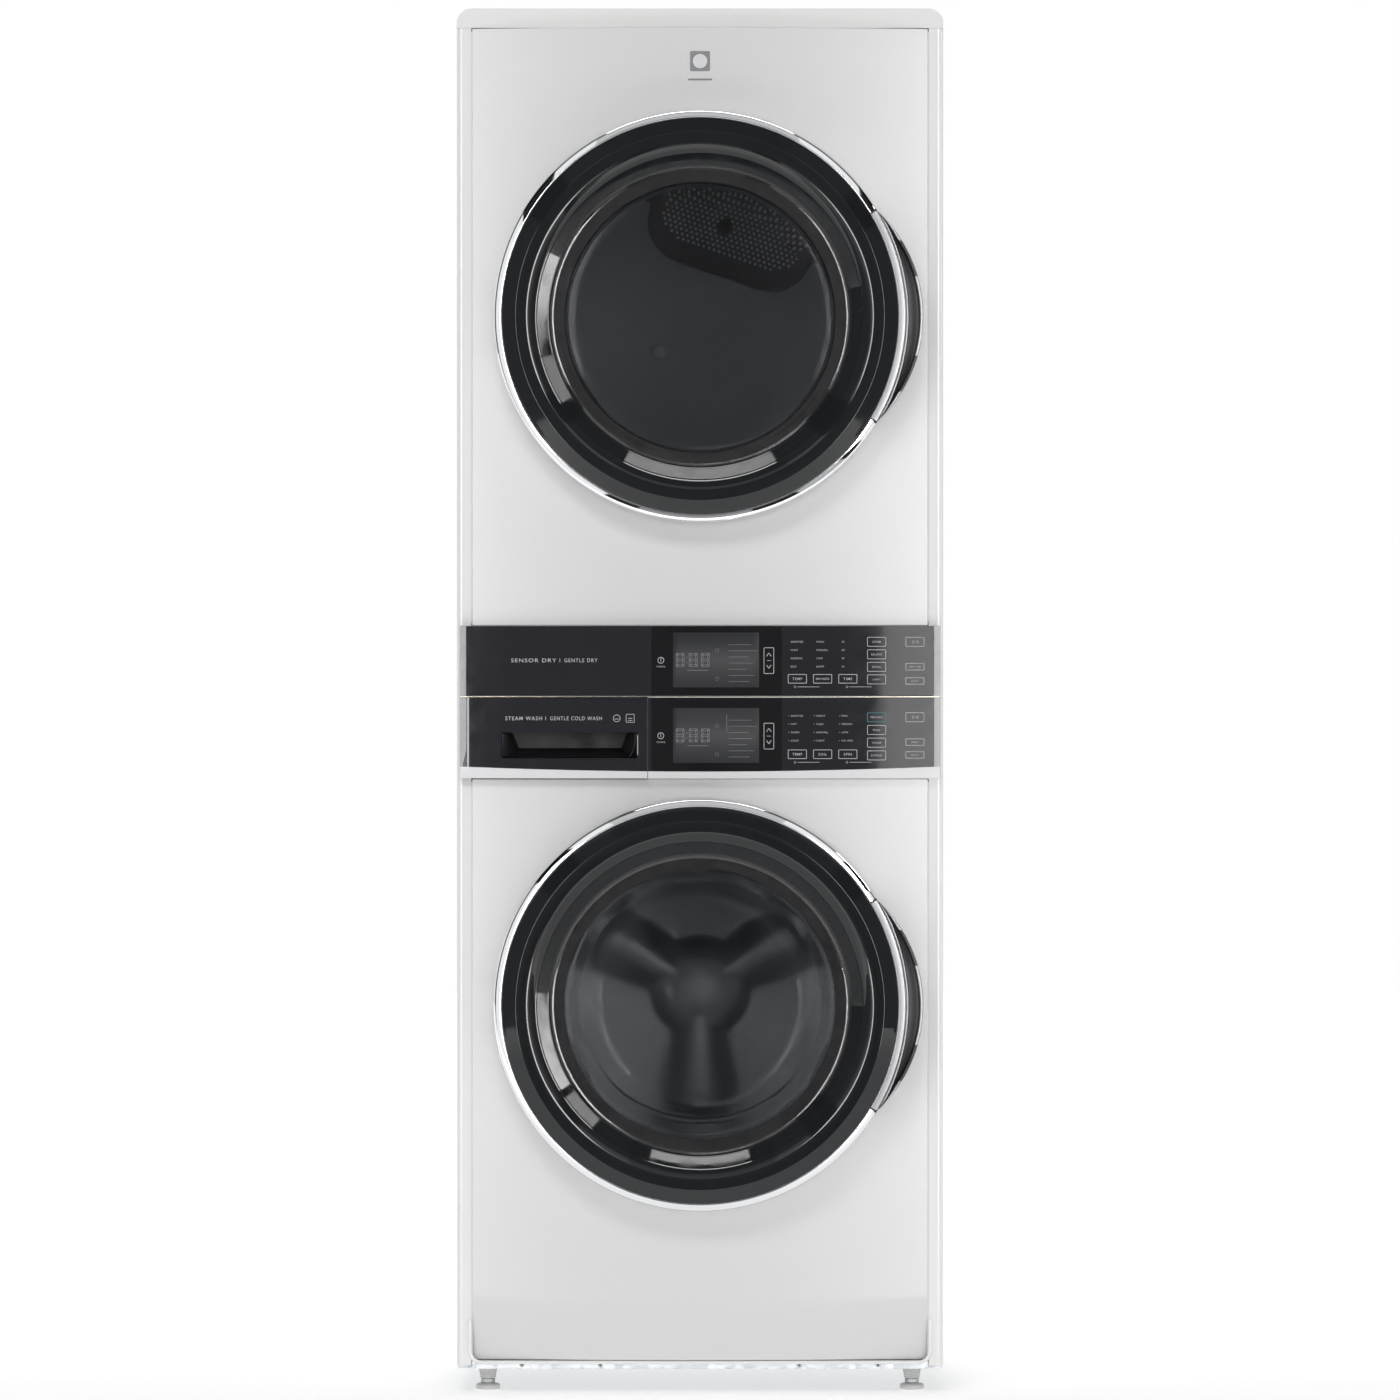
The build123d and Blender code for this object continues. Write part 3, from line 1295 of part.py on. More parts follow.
def make_lint_filter():
    """Lift-out lint filter: a frame, its mesh and the grip along its top."""
    near = LINT_Y - LINT_THICKNESS / 2
    far = LINT_Y + LINT_THICKNESS / 2
    side = LINT_HALF_WIDTH - 12
    low, high = LINT_BOTTOM + 12, LINT_TOP - 32
    with BuildPart() as lint:
        block(-LINT_HALF_WIDTH, LINT_HALF_WIDTH, near, far, LINT_BOTTOM, LINT_TOP)
        block(-side, side, near - 1, LINT_Y - 0.5, low, high, Mode.SUBTRACT)
        block(-side, side, LINT_Y + 0.5, far + 1, low, high, Mode.SUBTRACT)
        block(-30, 30, near - 1, near + 5, LINT_TOP - 14, LINT_TOP - 5, Mode.SUBTRACT)
    save(lint, "lint_filter")


def build_all():
    """Makes every piece and writes it to the parts folder."""
    os.makedirs("parts", exist_ok=True)
    make_side_panel(-1, "left_side_panel")
    make_side_panel(1, "right_side_panel")
    make_top_panel()
    make_rear_panel()
    make_base_frame()
    for place, position in foot_places.items():
        make_foot(position, f"foot_{place}")
    make_mid_shelf()
    make_dryer_front()
    make_washer_front()
    make_screws()

    make_carrier()
    glass_top = CONSOLE_TOP - GAP
    make_control_glass(
        -console_glass_half + GAP, CONSOLE_SEAM + 1 + GAP, glass_top, "dryer_control_glass"
    )
    lower = CONSOLE_BOTTOM + LIP_HEIGHT + GAP
    make_control_glass(
        DRAWER_RIGHT + 2 * GAP, lower, CONSOLE_SEAM - 1 - GAP, "washer_control_glass"
    )
    make_fascia()
    make_tray()
    make_housing()

    make_door("dryer", DRYER_AXIS_Z, DRYER_BOWL)
    make_door("washer", WASHER_AXIS_Z, WASHER_BOWL)
    make_hinge_brackets()
    make_catches()

    make_bellows()
    make_tub_front()
    make_tub_rear()
    make_suspension()
    make_counterweights()
    make_washer_motor()
    make_motor_pulley()
    make_drum_pulley()
    belt_loop(
        (0, WASHER_AXIS_Z),
        PULLEY_RADIUS,
        washer_motor,
        MOTOR_PULLEY_RADIUS,
        PULLEY_Y,
        BELT_WIDTH,
        "washer_belt",
    )
    make_spider()
    make_shell(
        WASHER_AXIS_Z,
        DRUM_RADIUS,
        DRUM_FRONT,
        DRUM_BACK,
        drum_mouth,
        DRUM_SHEET,
        True,
        "washer_drum",
    )
    make_baffles(
        WASHER_AXIS_Z,
        DRUM_RADIUS - DRUM_SHEET,
        WASHER_BAFFLE,
        DRUM_FRONT + 20,
        DRUM_BACK - 30,
        "washer_drum_baffles",
    )
    make_valves()
    make_pump()

    make_front_bulkhead()
    make_rear_bulkhead()
    make_roller(-1, "roller_left")
    make_roller(1, "roller_right")
    make_shell(
        DRYER_AXIS_Z,
        DRYER_DRUM_RADIUS,
        DRYER_DRUM_FRONT,
        DRYER_DRUM_BACK,
        dryer_mouth,
        DRUM_SHEET,
        False,
        "dryer_drum",
    )
    make_baffles(
        DRYER_AXIS_Z,
        DRYER_DRUM_RADIUS - DRUM_SHEET,
        DRYER_BAFFLE,
        DRYER_DRUM_FRONT + 20,
        pan_y - 20,
        "dryer_drum_baffles",
    )
    make_dryer_motor()
    make_motor_shaft()
    belt_loop(
        (0, DRYER_AXIS_Z),
        DRYER_DRUM_RADIUS,
        DRYER_MOTOR,
        DRYER_PULLEY_RADIUS,
        DRYER_BELT_Y,
        BELT_WIDTH,
        "dryer_belt",
    )
    make_blower()
    make_exhaust()
    make_heater()
    make_lint_filter()


build_all()
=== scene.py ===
from math import acos, atan2, ceil, cos, hypot, pi, radians, sin, sqrt

import bmesh
import bpy
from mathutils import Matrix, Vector


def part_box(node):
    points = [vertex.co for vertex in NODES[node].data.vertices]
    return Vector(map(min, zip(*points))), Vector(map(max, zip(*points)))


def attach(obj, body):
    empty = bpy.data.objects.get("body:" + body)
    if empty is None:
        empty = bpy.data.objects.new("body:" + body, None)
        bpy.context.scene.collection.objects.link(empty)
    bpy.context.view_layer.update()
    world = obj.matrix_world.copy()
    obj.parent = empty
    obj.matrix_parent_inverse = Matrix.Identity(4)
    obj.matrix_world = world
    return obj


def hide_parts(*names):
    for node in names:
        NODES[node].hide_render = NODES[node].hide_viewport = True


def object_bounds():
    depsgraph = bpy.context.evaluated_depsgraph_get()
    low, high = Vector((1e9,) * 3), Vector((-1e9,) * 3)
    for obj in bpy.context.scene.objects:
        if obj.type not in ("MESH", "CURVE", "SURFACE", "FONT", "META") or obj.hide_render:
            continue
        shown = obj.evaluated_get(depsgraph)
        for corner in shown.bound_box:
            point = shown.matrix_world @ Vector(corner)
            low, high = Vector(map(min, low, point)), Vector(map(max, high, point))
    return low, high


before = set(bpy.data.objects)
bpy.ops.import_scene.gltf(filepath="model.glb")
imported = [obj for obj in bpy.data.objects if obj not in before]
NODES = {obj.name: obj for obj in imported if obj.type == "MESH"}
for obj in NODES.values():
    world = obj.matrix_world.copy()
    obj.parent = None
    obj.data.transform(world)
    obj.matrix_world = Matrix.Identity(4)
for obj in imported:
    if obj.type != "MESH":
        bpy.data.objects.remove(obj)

# The looks of a laundry tower: a front-loading washer, a tumble dryer above it and one curved
# console between them. Lengths below are millimetres; points become metres in make_mesh().
# The front faces -Y, +X is to the right of somebody facing the doors, and the floor is Z = 0.

MM = 0.001
CAD_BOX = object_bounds()

# ---------------------------------------------------------------- sizes of the finer detail
PANEL_BOW = 14.0
CONSOLE_BOW = 18.0
EDGE_ROLL = 1.2
PORT_ROLL = 3.0
PORT_RADIUS = 232.0
SHEET = 1.0
TOE_CREASE = 126.0
TOE_SLOPE = 0.12
TOE_EXTRA_BOW = 1.0
RING_FACE = 11.0
RING_WALL = 3.0
HANDLE_ANGLE = radians(31)
LENS_SHEET = 4.0
CREST_OUTER = 258.0
CREST_INNER = 240.0
WINDOW_RADIUS = 212.0
GLASS_FLANGE = 222.0
GLASS_NECK = 198.5
GLASS_WALL = 5.0
GRIP_RIM = 5.0
POCKET_DEPTH = 26.0
INK_LIFT = 0.12
STEPS = 160


def corners(node):
    """Lowest and highest corner of a CAD piece, in millimetres."""
    low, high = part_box(node)
    return low / MM, high / MM


def middle_z(node):
    """Height of the middle of a CAD piece."""
    low, high = corners(node)
    return (low.z + high.z) / 2


AXIS = {door: middle_z(f"{door}_door_ring") for door in ("dryer", "washer")}
RING_LOW, RING_HIGH = corners("dryer_door_ring")
DOOR_RADIUS = RING_HIGH.x
RING_FRONT = RING_LOW.y
DOOR_BACK = RING_HIGH.y
CREST_FRONT = corners("dryer_door_lens")[0].y
PANEL_LOW, PANEL_HIGH = corners("dryer_front_panel")
PANEL_HALF = PANEL_HIGH.x
CROWN = PANEL_LOW.y
GLASS_LOW, GLASS_HIGH = corners("dryer_control_glass")
CONSOLE_LOW, CONSOLE_HIGH = corners("console_carrier")
CONSOLE_HALF = CONSOLE_HIGH.x
CONSOLE_FRONT = CONSOLE_LOW.y
PANEL_EDGE = CROWN + PANEL_BOW
PANEL_ARC = (PANEL_HALF**2 + PANEL_BOW**2) / (2 * PANEL_BOW)
TOE_BOW = PANEL_BOW + TOE_EXTRA_BOW
TOE_ARC = (PANEL_HALF**2 + TOE_BOW**2) / (2 * TOE_BOW)
CONSOLE_ARC = (CONSOLE_HALF**2 + CONSOLE_BOW**2) / (2 * CONSOLE_BOW)


# ================================================================ materials
def linear(value):
    """An sRGB hex colour such as "#F4F4F2" as the linear colour that a shader takes."""
    parts = [int(value[i : i + 2], 16) / 255 for i in (1, 3, 5)]
    return (*[c / 12.92 if c <= 0.04045 else ((c + 0.055) / 1.055) ** 2.4 for c in parts], 1.0)


def add_node(tree, kind, settings=None, inputs=None):
    """Adds a shader node with its settings, and its inputs as values or as links."""
    made = tree.nodes.new(kind)
    for name, value in (settings or {}).items():
        setattr(made, name, value)
    for name, value in (inputs or {}).items():
        if isinstance(value, bpy.types.NodeSocket):
            tree.links.new(value, made.inputs[name])
        else:
            made.inputs[name].default_value = value
    return made


def finish(name, colour, roughness, metallic=0.0, **sockets):
    """Starts a material: its shader with plain values, and the places of its patterns."""
    material = bpy.data.materials.new(name)
    material.use_nodes = True
    tree = material.node_tree
    shader = tree.nodes["Principled BSDF"]
    shader.inputs["Base Color"].default_value = linear(colour)
    shader.inputs["Roughness"].default_value = roughness
    shader.inputs["Metallic"].default_value = metallic
    for socket, value in sockets.items():
        shader.inputs[socket.replace("_", " ")].default_value = value
    places = add_node(tree, "ShaderNodeTexCoord").outputs["Object"]
    return material, tree, shader, places


def pattern(tree, places, size, stretch=(1, 1, 1), detail=2.0):
    """Noise whose grains measure about size millimetres, pulled along the axes by stretch."""
    scaled = add_node(tree, "ShaderNodeMapping", {}, {"Vector": places, "Scale": stretch})
    settings = {"Vector": scaled.outputs[0], "Scale": 1 / (size * MM), "Detail": detail}
    return add_node(tree, "ShaderNodeTexNoise", {}, settings).outputs["Fac"]


def vary(tree, shader, socket, factor, low, high):
    """Lets a pattern move a number of the shader between two values."""
    ends = {"Value": factor, "From Min": 0.3, "From Max": 0.7, "To Min": low, "To Max": high}
    tree.links.new(add_node(tree, "ShaderNodeMapRange", {}, ends).outputs[0], shader.inputs[socket])


def tint(tree, shader, factor, first, second):
    """Lets a pattern mix two colours."""
    blend = {0: factor, 6: linear(first), 7: linear(second)}
    mixed = add_node(tree, "ShaderNodeMix", {"data_type": "RGBA"}, blend)
    tree.links.new(mixed.outputs[2], shader.inputs["Base Color"])


def relief(tree, shader, height, depth, strength=1.0):
    """Lets a pattern raise the surface by depth millimetres."""
    bump = {"Height": height, "Distance": depth * MM, "Strength": strength}
    tree.links.new(add_node(tree, "ShaderNodeBump", {}, bump).outputs[0], shader.inputs["Normal"])


def powder_enamel(name, colour, second):
    """Powder enamel on steel: white, a soft gloss and a faint orange peel."""
    coat = {"Coat_Weight": 1.0, "Coat_Roughness": 0.3, "Coat_IOR": 1.5}
    material, tree, shader, places = finish(name, colour, 0.4, IOR=1.52, **coat)
    cloud = pattern(tree, places, 160)
    relief(tree, shader, pattern(tree, places, 2.4), 0.005, 0.4)
    vary(tree, shader, "Roughness", cloud, 0.38, 0.42)
    tint(tree, shader, cloud, colour, second)
    return material


def galvanised_sheet():
    """Hot-dip galvanised steel: dull zinc with the patchy flakes of its spangle."""
    material, tree, shader, places = finish("galvanised_sheet", "#C4C7C9", 0.42, 1.0)
    cell = {"Vector": places, "Scale": 1 / (9 * MM)}
    flakes = add_node(tree, "ShaderNodeTexVoronoi", {}, cell).outputs["Color"]
    grey = add_node(tree, "ShaderNodeRGBToBW", {}, {"Color": flakes}).outputs[0]
    tint(tree, shader, grey, "#B9BDC0", "#D0D2D4")
    vary(tree, shader, "Roughness", grey, 0.34, 0.5)
    relief(tree, shader, pattern(tree, places, 1.6), 0.01, 0.4)
    return material


def turned_steel(name, colour, roughness):
    """Machined or rolled steel: fine parallel tool marks and a clean grey shine."""
    material, tree, shader, places = finish(name, colour, roughness, 1.0)
    marks = pattern(tree, places, 0.9, (1, 6, 1), 4)
    relief(tree, shader, marks, 0.01, 0.5)
    vary(tree, shader, "Roughness", marks, roughness - 0.06, roughness + 0.08)
    return material


def spun_stainless(name, axis_z):
    """Spun stainless steel: hair lines that run round the drum, brighter and duller in bands."""
    material, tree, shader, places = finish(name, "#C3C4C6", 0.36, 1.0)
    moved = {"Vector": places, "Location": (0, 0, -axis_z * MM)}
    split = add_node(tree, "ShaderNodeSeparateXYZ", {}, {
        0: add_node(tree, "ShaderNodeMapping", {}, moved).outputs[0]})
    flat = add_node(tree, "ShaderNodeCombineXYZ", {}, {0: split.outputs[0], 1: split.outputs[2]})
    reach = add_node(tree, "ShaderNodeVectorMath", {"operation": "LENGTH"}, {0: flat.outputs[0]})
    lines = add_node(tree, "ShaderNodeCombineXYZ", {}, {0: reach.outputs["Value"], 1: split.outputs[1]})
    hair = pattern(tree, lines.outputs[0], 1.4, detail=5)
    relief(tree, shader, hair, 0.012, 0.5)
    vary(tree, shader, "Roughness", hair, 0.3, 0.46)
    tint(tree, shader, pattern(tree, lines.outputs[0], 30), "#B9BABC", "#CBCCCE")
    return material


def bright_chrome():
    """Chromium plate on moulded plastic: a mirror with the slightest long wave in it."""
    material, tree, shader, places = finish("bright_chrome_plate", "#E9EAEC", 0.035, 1.0)
    relief(tree, shader, pattern(tree, places, 40), 0.02, 0.3)
    vary(tree, shader, "Roughness", pattern(tree, places, 12), 0.025, 0.05)
    return material


def satin_chrome(name, colour):
    """Satin chromium plate: a soft grey sheen with a fine blasted grain."""
    material, tree, shader, places = finish(name, colour, 0.34, 1.0)
    relief(tree, shader, pattern(tree, places, 0.8, detail=4), 0.012, 0.5)
    vary(tree, shader, "Roughness", pattern(tree, places, 9), 0.3, 0.4)
    return material


def moulded(name, colour, second, roughness, grain=0.7, depth=0.02, **sockets):
    """Injection-moulded plastic: one colour through and the spark-eroded grain of its mould."""
    material, tree, shader, places = finish(name, colour, roughness, IOR=1.49, **sockets)
    relief(tree, shader, pattern(tree, places, grain, detail=3), depth, 0.6)
    cloud = pattern(tree, places, 35)
    tint(tree, shader, cloud, colour, second)
    vary(tree, shader, "Roughness", cloud, roughness - 0.04, roughness + 0.05)
    return material


def smoked_acrylic():
    """Smoked acrylic, moulded and polished: deep grey, clear, with a wet gloss."""
    values = {"Transmission_Weight": 1.0, "IOR": 1.49}
    material, tree, shader, places = finish("smoked_acrylic", "#A4A4A6", 0.015, **values)
    relief(tree, shader, pattern(tree, places, 60), 0.01, 0.2)
    return material


def pressed_glass():
    """Pressed borosilicate glass: clear, faintly green, with the slow ripple of the mould."""
    values = {"Transmission_Weight": 1.0, "IOR": 1.47}
    material, tree, shader, places = finish("pressed_door_glass", "#E9ECEC", 0.01, **values)
    relief(tree, shader, pattern(tree, places, 70), 0.05, 0.25)
    return material


def printed_glass():
    """Back-printed touch glass: a grey-black ground, darker behind the displays."""
    material, tree, shader, places = finish("back_printed_glass", "#2E2E32", 0.07, IOR=1.5)
    across = add_node(tree, "ShaderNodeSeparateXYZ", {}, {0: places}).outputs[0]
    ramp = add_node(tree, "ShaderNodeValToRGB", {}, {
        0: add_node(tree, "ShaderNodeMapRange", {}, {
            "Value": across, "From Min": -0.35, "From Max": 0.35}).outputs[0]})
    ramp.color_ramp.interpolation = "CONSTANT"
    for place, colour in ((0.4, "#19191B"), (0.663, "#29292D")):
        ramp.color_ramp.elements.new(place).color = linear(colour)
    ramp.color_ramp.elements[0].color = linear("#2A2A2F")
    ramp.color_ramp.elements[-1].color = linear("#29292D")
    tree.links.new(ramp.outputs[0], shader.inputs["Base Color"])
    vary(tree, shader, "Roughness", pattern(tree, places, 25), 0.05, 0.09)
    return material


def ink(name, colour, glow=0.0):
    """Screen-printed ink: flat, matt and even, with the faint mesh of the screen."""
    material, tree, shader, places = finish(name, colour, 0.6)
    if glow:
        shader.inputs["Emission Color"].default_value = linear(colour)
        shader.inputs["Emission Strength"].default_value = glow
    vary(tree, shader, "Roughness", pattern(tree, places, 0.4), 0.55, 0.7)
    return material


def rubber(name, colour):
    """Moulded rubber: deep, dull, with a dusty bloom in its folds."""
    material, tree, shader, places = finish(name, colour, 0.62, IOR=1.52)
    relief(tree, shader, pattern(tree, places, 1.2, detail=4), 0.04, 0.5)
    vary(tree, shader, "Roughness", pattern(tree, places, 18), 0.52, 0.72)
    return material


def cast_concrete():
    """Cast concrete: pale grey with sand, pits and darker damp patches."""
    material, tree, shader, places = finish("cast_concrete", "#A5A39D", 0.85)
    sand = pattern(tree, places, 2.5, detail=6)
    tint(tree, shader, sand, "#8E8C86", "#B8B6B0")
    relief(tree, shader, sand, 0.6, 0.7)
    return material


def cast_aluminium():
    """Die-cast aluminium: pale, slightly rough skin with flow marks."""
    material, tree, shader, places = finish("die_cast_aluminium", "#B4B6B8", 0.45, 1.0)
    skin = pattern(tree, places, 5, detail=5)
    relief(tree, shader, skin, 0.08, 0.5)
    vary(tree, shader, "Roughness", skin, 0.38, 0.55)
    return material


ENAMEL = powder_enamel("white_powder_enamel", "#F7F7F6", "#F5F5F4")
# The fronts take a darker copy of the sides' white enamel, as painted shade.
SHADED_FRONT_ENAMEL = powder_enamel("white_powder_enamel_darkened_for_shade_on_fronts", "#E3E3E3", "#E1E1E1")
GALVANISED = galvanised_sheet()
PLATED_STEEL = turned_steel("zinc_plated_steel", "#A8AAAB", 0.32)
STAINLESS = {door: spun_stainless(f"spun_stainless_{door}", z) for door, z in AXIS.items()}
CHROME = bright_chrome()
SATIN = satin_chrome("satin_chrome_plate", "#8A8A8C")
# A lighter copy of the satin chrome for the grip's rim, as a painted highlight.
LIT_RIM_SATIN = satin_chrome("satin_chrome_lightened_for_highlight_on_grip_rim", "#959596")
CHARCOAL = moulded("charcoal_moulded_nylon", "#535354", "#58585A", 0.48)
SOOT = moulded("black_moulded_abs", "#161718", "#1B1C1D", 0.3, 0.5, 0.008)
WHITE_ABS = moulded("white_moulded_abs", "#ECECEE", "#E7E7E9", 0.35, 0.6, 0.008)
# A darker copy of the white plastic, as painted shade on the console's ends and the drawer's left cheek.
SHADED_END_ABS = moulded("white_abs_darkened_for_shade", "#9C9CA0", "#A3A3A6", 0.28, 0.5, 0.006)
TUB_PLASTIC = moulded("glass_filled_polypropylene", "#C9C8C2", "#BFBEB8", 0.55, 1.4, 0.05)
GREY_PP = moulded("grey_moulded_polypropylene", "#8B8D90", "#85878A", 0.5)
FOOT_NYLON = moulded("pale_moulded_nylon", "#E2E2E0", "#DADAD8", 0.5)
LENS = smoked_acrylic()
DOOR_GLASS = pressed_glass()
TOUCH_GLASS = printed_glass()
LEGEND = ink("pale_screen_ink", "#D2D2D6")
GHOST = ink("unlit_display_ink", "#8A8D92")
SCREEN = ink("display_window_tint", "#27282B")
LENS_BAND = moulded("back_painted_acrylic", "#202224", "#222426", 0.05, 60, 0.01)
TEAL = ink("teal_screen_ink", "#3E8E96")
CHAMPAGNE = turned_steel("champagne_trim_strip", "#C8C0A8", 0.22)
BELLOWS_RUBBER = rubber("grey_epdm_rubber", "#6C6E70")
BLACK_RUBBER = rubber("black_epdm_rubber", "#1C1C1D")
COATED_SHEET = moulded("grey_baked_coating_on_sheet", "#9C9DA0", "#97989B", 0.45)
GRILLE_DOTS = moulded("pale_baked_coating", "#ECECEE", "#E4E4E6", 0.4)
CONCRETE = cast_concrete()
ALUMINIUM = cast_aluminium()


# ================================================================ mesh making
def make_mesh(name, points, faces, material, body, slot, origin=(0, 0, 0), replaces=(), sharp=35):
    """Makes a piece from points in millimetres and lets it ride on a body; its slot is not used."""
    mesh = bpy.data.meshes.new(name)
    local = [(Vector(p) - Vector(origin)) * MM for p in points]
    mesh.from_pydata(local, [], faces)
    shape = bmesh.new()
    shape.from_mesh(mesh)
    bmesh.ops.remove_doubles(shape, verts=shape.verts, dist=0.002 * MM)
    bmesh.ops.dissolve_degenerate(shape, edges=shape.edges, dist=0.001 * MM)
    bmesh.ops.recalc_face_normals(shape, faces=shape.faces)
    shape.to_mesh(mesh)
    shape.free()
    mesh.polygons.foreach_set("use_smooth", [True] * len(mesh.polygons))
    mesh.set_sharp_from_angle(angle=radians(sharp))
    materials = material if isinstance(material, (list, tuple)) else [material]
    for each in materials:
        mesh.materials.append(each)
    piece = bpy.data.objects.new(name, mesh)
    bpy.context.scene.collection.objects.link(piece)
    piece.location = Vector(origin) * MM
    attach(piece, body)
    if replaces:
        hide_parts(*replaces)
    return piece


def paint(piece, rule):
    """Gives each face the material whose number the rule returns for the face's middle."""
    place = piece.location
    for polygon in piece.data.polygons:
        polygon.material_index = rule((polygon.center + place) / MM)


def round_edges(piece, width, segments=3, angle=30):
    """Rounds a piece's sharp edges to a radius of width millimetres."""
    edge = piece.modifiers.new("rounded_edges", "BEVEL")
    edge.width = width * MM
    edge.segments = segments
    edge.limit_method = "ANGLE"
    edge.angle_limit = radians(angle)
    edge.harden_normals = True
    return piece


def even_shading(piece):
    """Lets the large faces rule the shading, so that flats stay flat beside their rounded edges."""
    shading = piece.modifiers.new("even_shading", "WEIGHTED_NORMAL")
    shading.keep_sharp = True
    return piece


def thicken(piece, wall, offset=-1.0):
    """Gives a sheet its thickness."""
    solid = piece.modifiers.new("sheet", "SOLIDIFY")
    solid.thickness = wall * MM
    solid.offset = offset
    return piece


def arc_y(x, apex, radius):
    """Depth at x of a surface bowed towards the front."""
    return apex + radius - sqrt(radius**2 - x**2)


def console_y(x, lift=0.0):
    """Depth of the console's bowed face at x, with lift ahead of it."""
    return arc_y(x, CONSOLE_FRONT, CONSOLE_ARC) - lift


def rounded(points, radius, steps=4):
    """Replaces each corner of a closed outline by an arc-like curve; radius may be one per corner."""
    count = len(points)
    radii = radius if isinstance(radius, (list, tuple)) else [radius] * count
    out = []
    for i, corner in enumerate(points):
        here = Vector(corner)
        before = Vector(points[i - 1]) - here
        after = Vector(points[(i + 1) % count]) - here
        if radii[i] < 0.05:
            out.append(tuple(here))
            continue
        cut = min(radii[i], before.length * 0.45, after.length * 0.45)
        first = here + before.normalized() * cut
        last = here + after.normalized() * cut
        for k in range(steps + 1):
            t = k / steps
            out.append(tuple(first * (1 - t) ** 2 + here * 2 * t * (1 - t) + last * t**2))
    return out


def lathe(profile, x, z, steps=STEPS, start=0.0, sweep=2 * pi):
    """Turns a closed outline of radius and depth about a front-to-back axis through (x, z)."""
    whole = sweep > 2 * pi - 0.001
    rows = steps if whole else steps + 1
    size = len(profile)
    points = []
    for i in range(rows):
        angle = start + sweep * i / steps
        points += [(x + r * cos(angle), y, z + r * sin(angle)) for r, y in profile]
    faces = []
    for i in range(steps):
        a, b = i * size, (i + 1) % rows * size
        for j in range(size):
            k = (j + 1) % size
            faces.append((a + j, a + k, b + k, b + j))
    if not whole:
        faces += [tuple(range(size)), tuple(range(steps * size, (steps + 1) * size))]
    return points, faces


def stand(points, x, y):
    """Turns points made about the front-to-back axis at (0, 0) upright, onto an axis at (x, y)."""
    return [(x + px, y + pz, py) for px, py, pz in points]


def loft(sections, closed_ends=True):
    """Joins closed outlines of equal size, given as 3-D points, into one skin."""
    size = len(sections[0])
    points = [p for section in sections for p in section]
    faces = []
    for i in range(len(sections) - 1):
        a, b = i * size, (i + 1) * size
        for j in range(size):
            k = (j + 1) % size
            faces.append((a + j, a + k, b + k, b + j))
    if closed_ends:
        faces += [tuple(range(size)), tuple(range((len(sections) - 1) * size, len(points)))]
    return points, faces


def merge(*parts):
    """Puts several sets of points and faces together as one."""
    points, faces = [], []
    for more_points, more_faces in parts:
        start = len(points)
        points += more_points
        faces += [tuple(start + i for i in face) for face in more_faces]
    return points, faces


def plate(outline, near, far):
    """A plate with an outline of x and z, from depth near to depth far."""
    return loft([[(x, near, z) for x, z in outline], [(x, far, z) for x, z in outline]])


def box_outline(left, right, low, high, radius=0.0, steps=4):
    """A rectangle as an outline, with its corners rounded."""
    square = [(left, low), (right, low), (right, high), (left, high)]
    return rounded(square, radius, steps) if radius else square


def circle(x, z, radius, count=24):
    """A circle as an outline."""
    return [(x + radius * cos(2 * pi * i / count), z + radius * sin(2 * pi * i / count)) for i in range(count)]


# ================================================================ CAD pieces that stay
def keep(node, material, bevel=0.0, rule=None):
    """Gives a CAD piece that stays its finish and breaks its sharp edges."""
    piece = NODES[node]
    piece.data.materials.clear()
    for each in material if isinstance(material, (list, tuple)) else [material]:
        piece.data.materials.append(each)
    piece.data.polygons.foreach_set("material_index", [0] * len(piece.data.polygons))
    if rule:
        paint(piece, rule)
    weld = piece.modifiers.new("weld", "WELD")
    weld.merge_threshold = 0.001 * MM
    if bevel:
        flat = piece.modifiers.new("flat_faces", "DECIMATE")
        flat.decimate_type = "DISSOLVE"
        flat.angle_limit = radians(0.1)
        flat.delimit = {"MATERIAL", "SHARP"}
        round_edges(piece, bevel, 2, 40)
        return even_shading(piece)
    split = piece.modifiers.new("crisp_edges", "EDGE_SPLIT")
    split.split_angle = radians(35)
    return piece


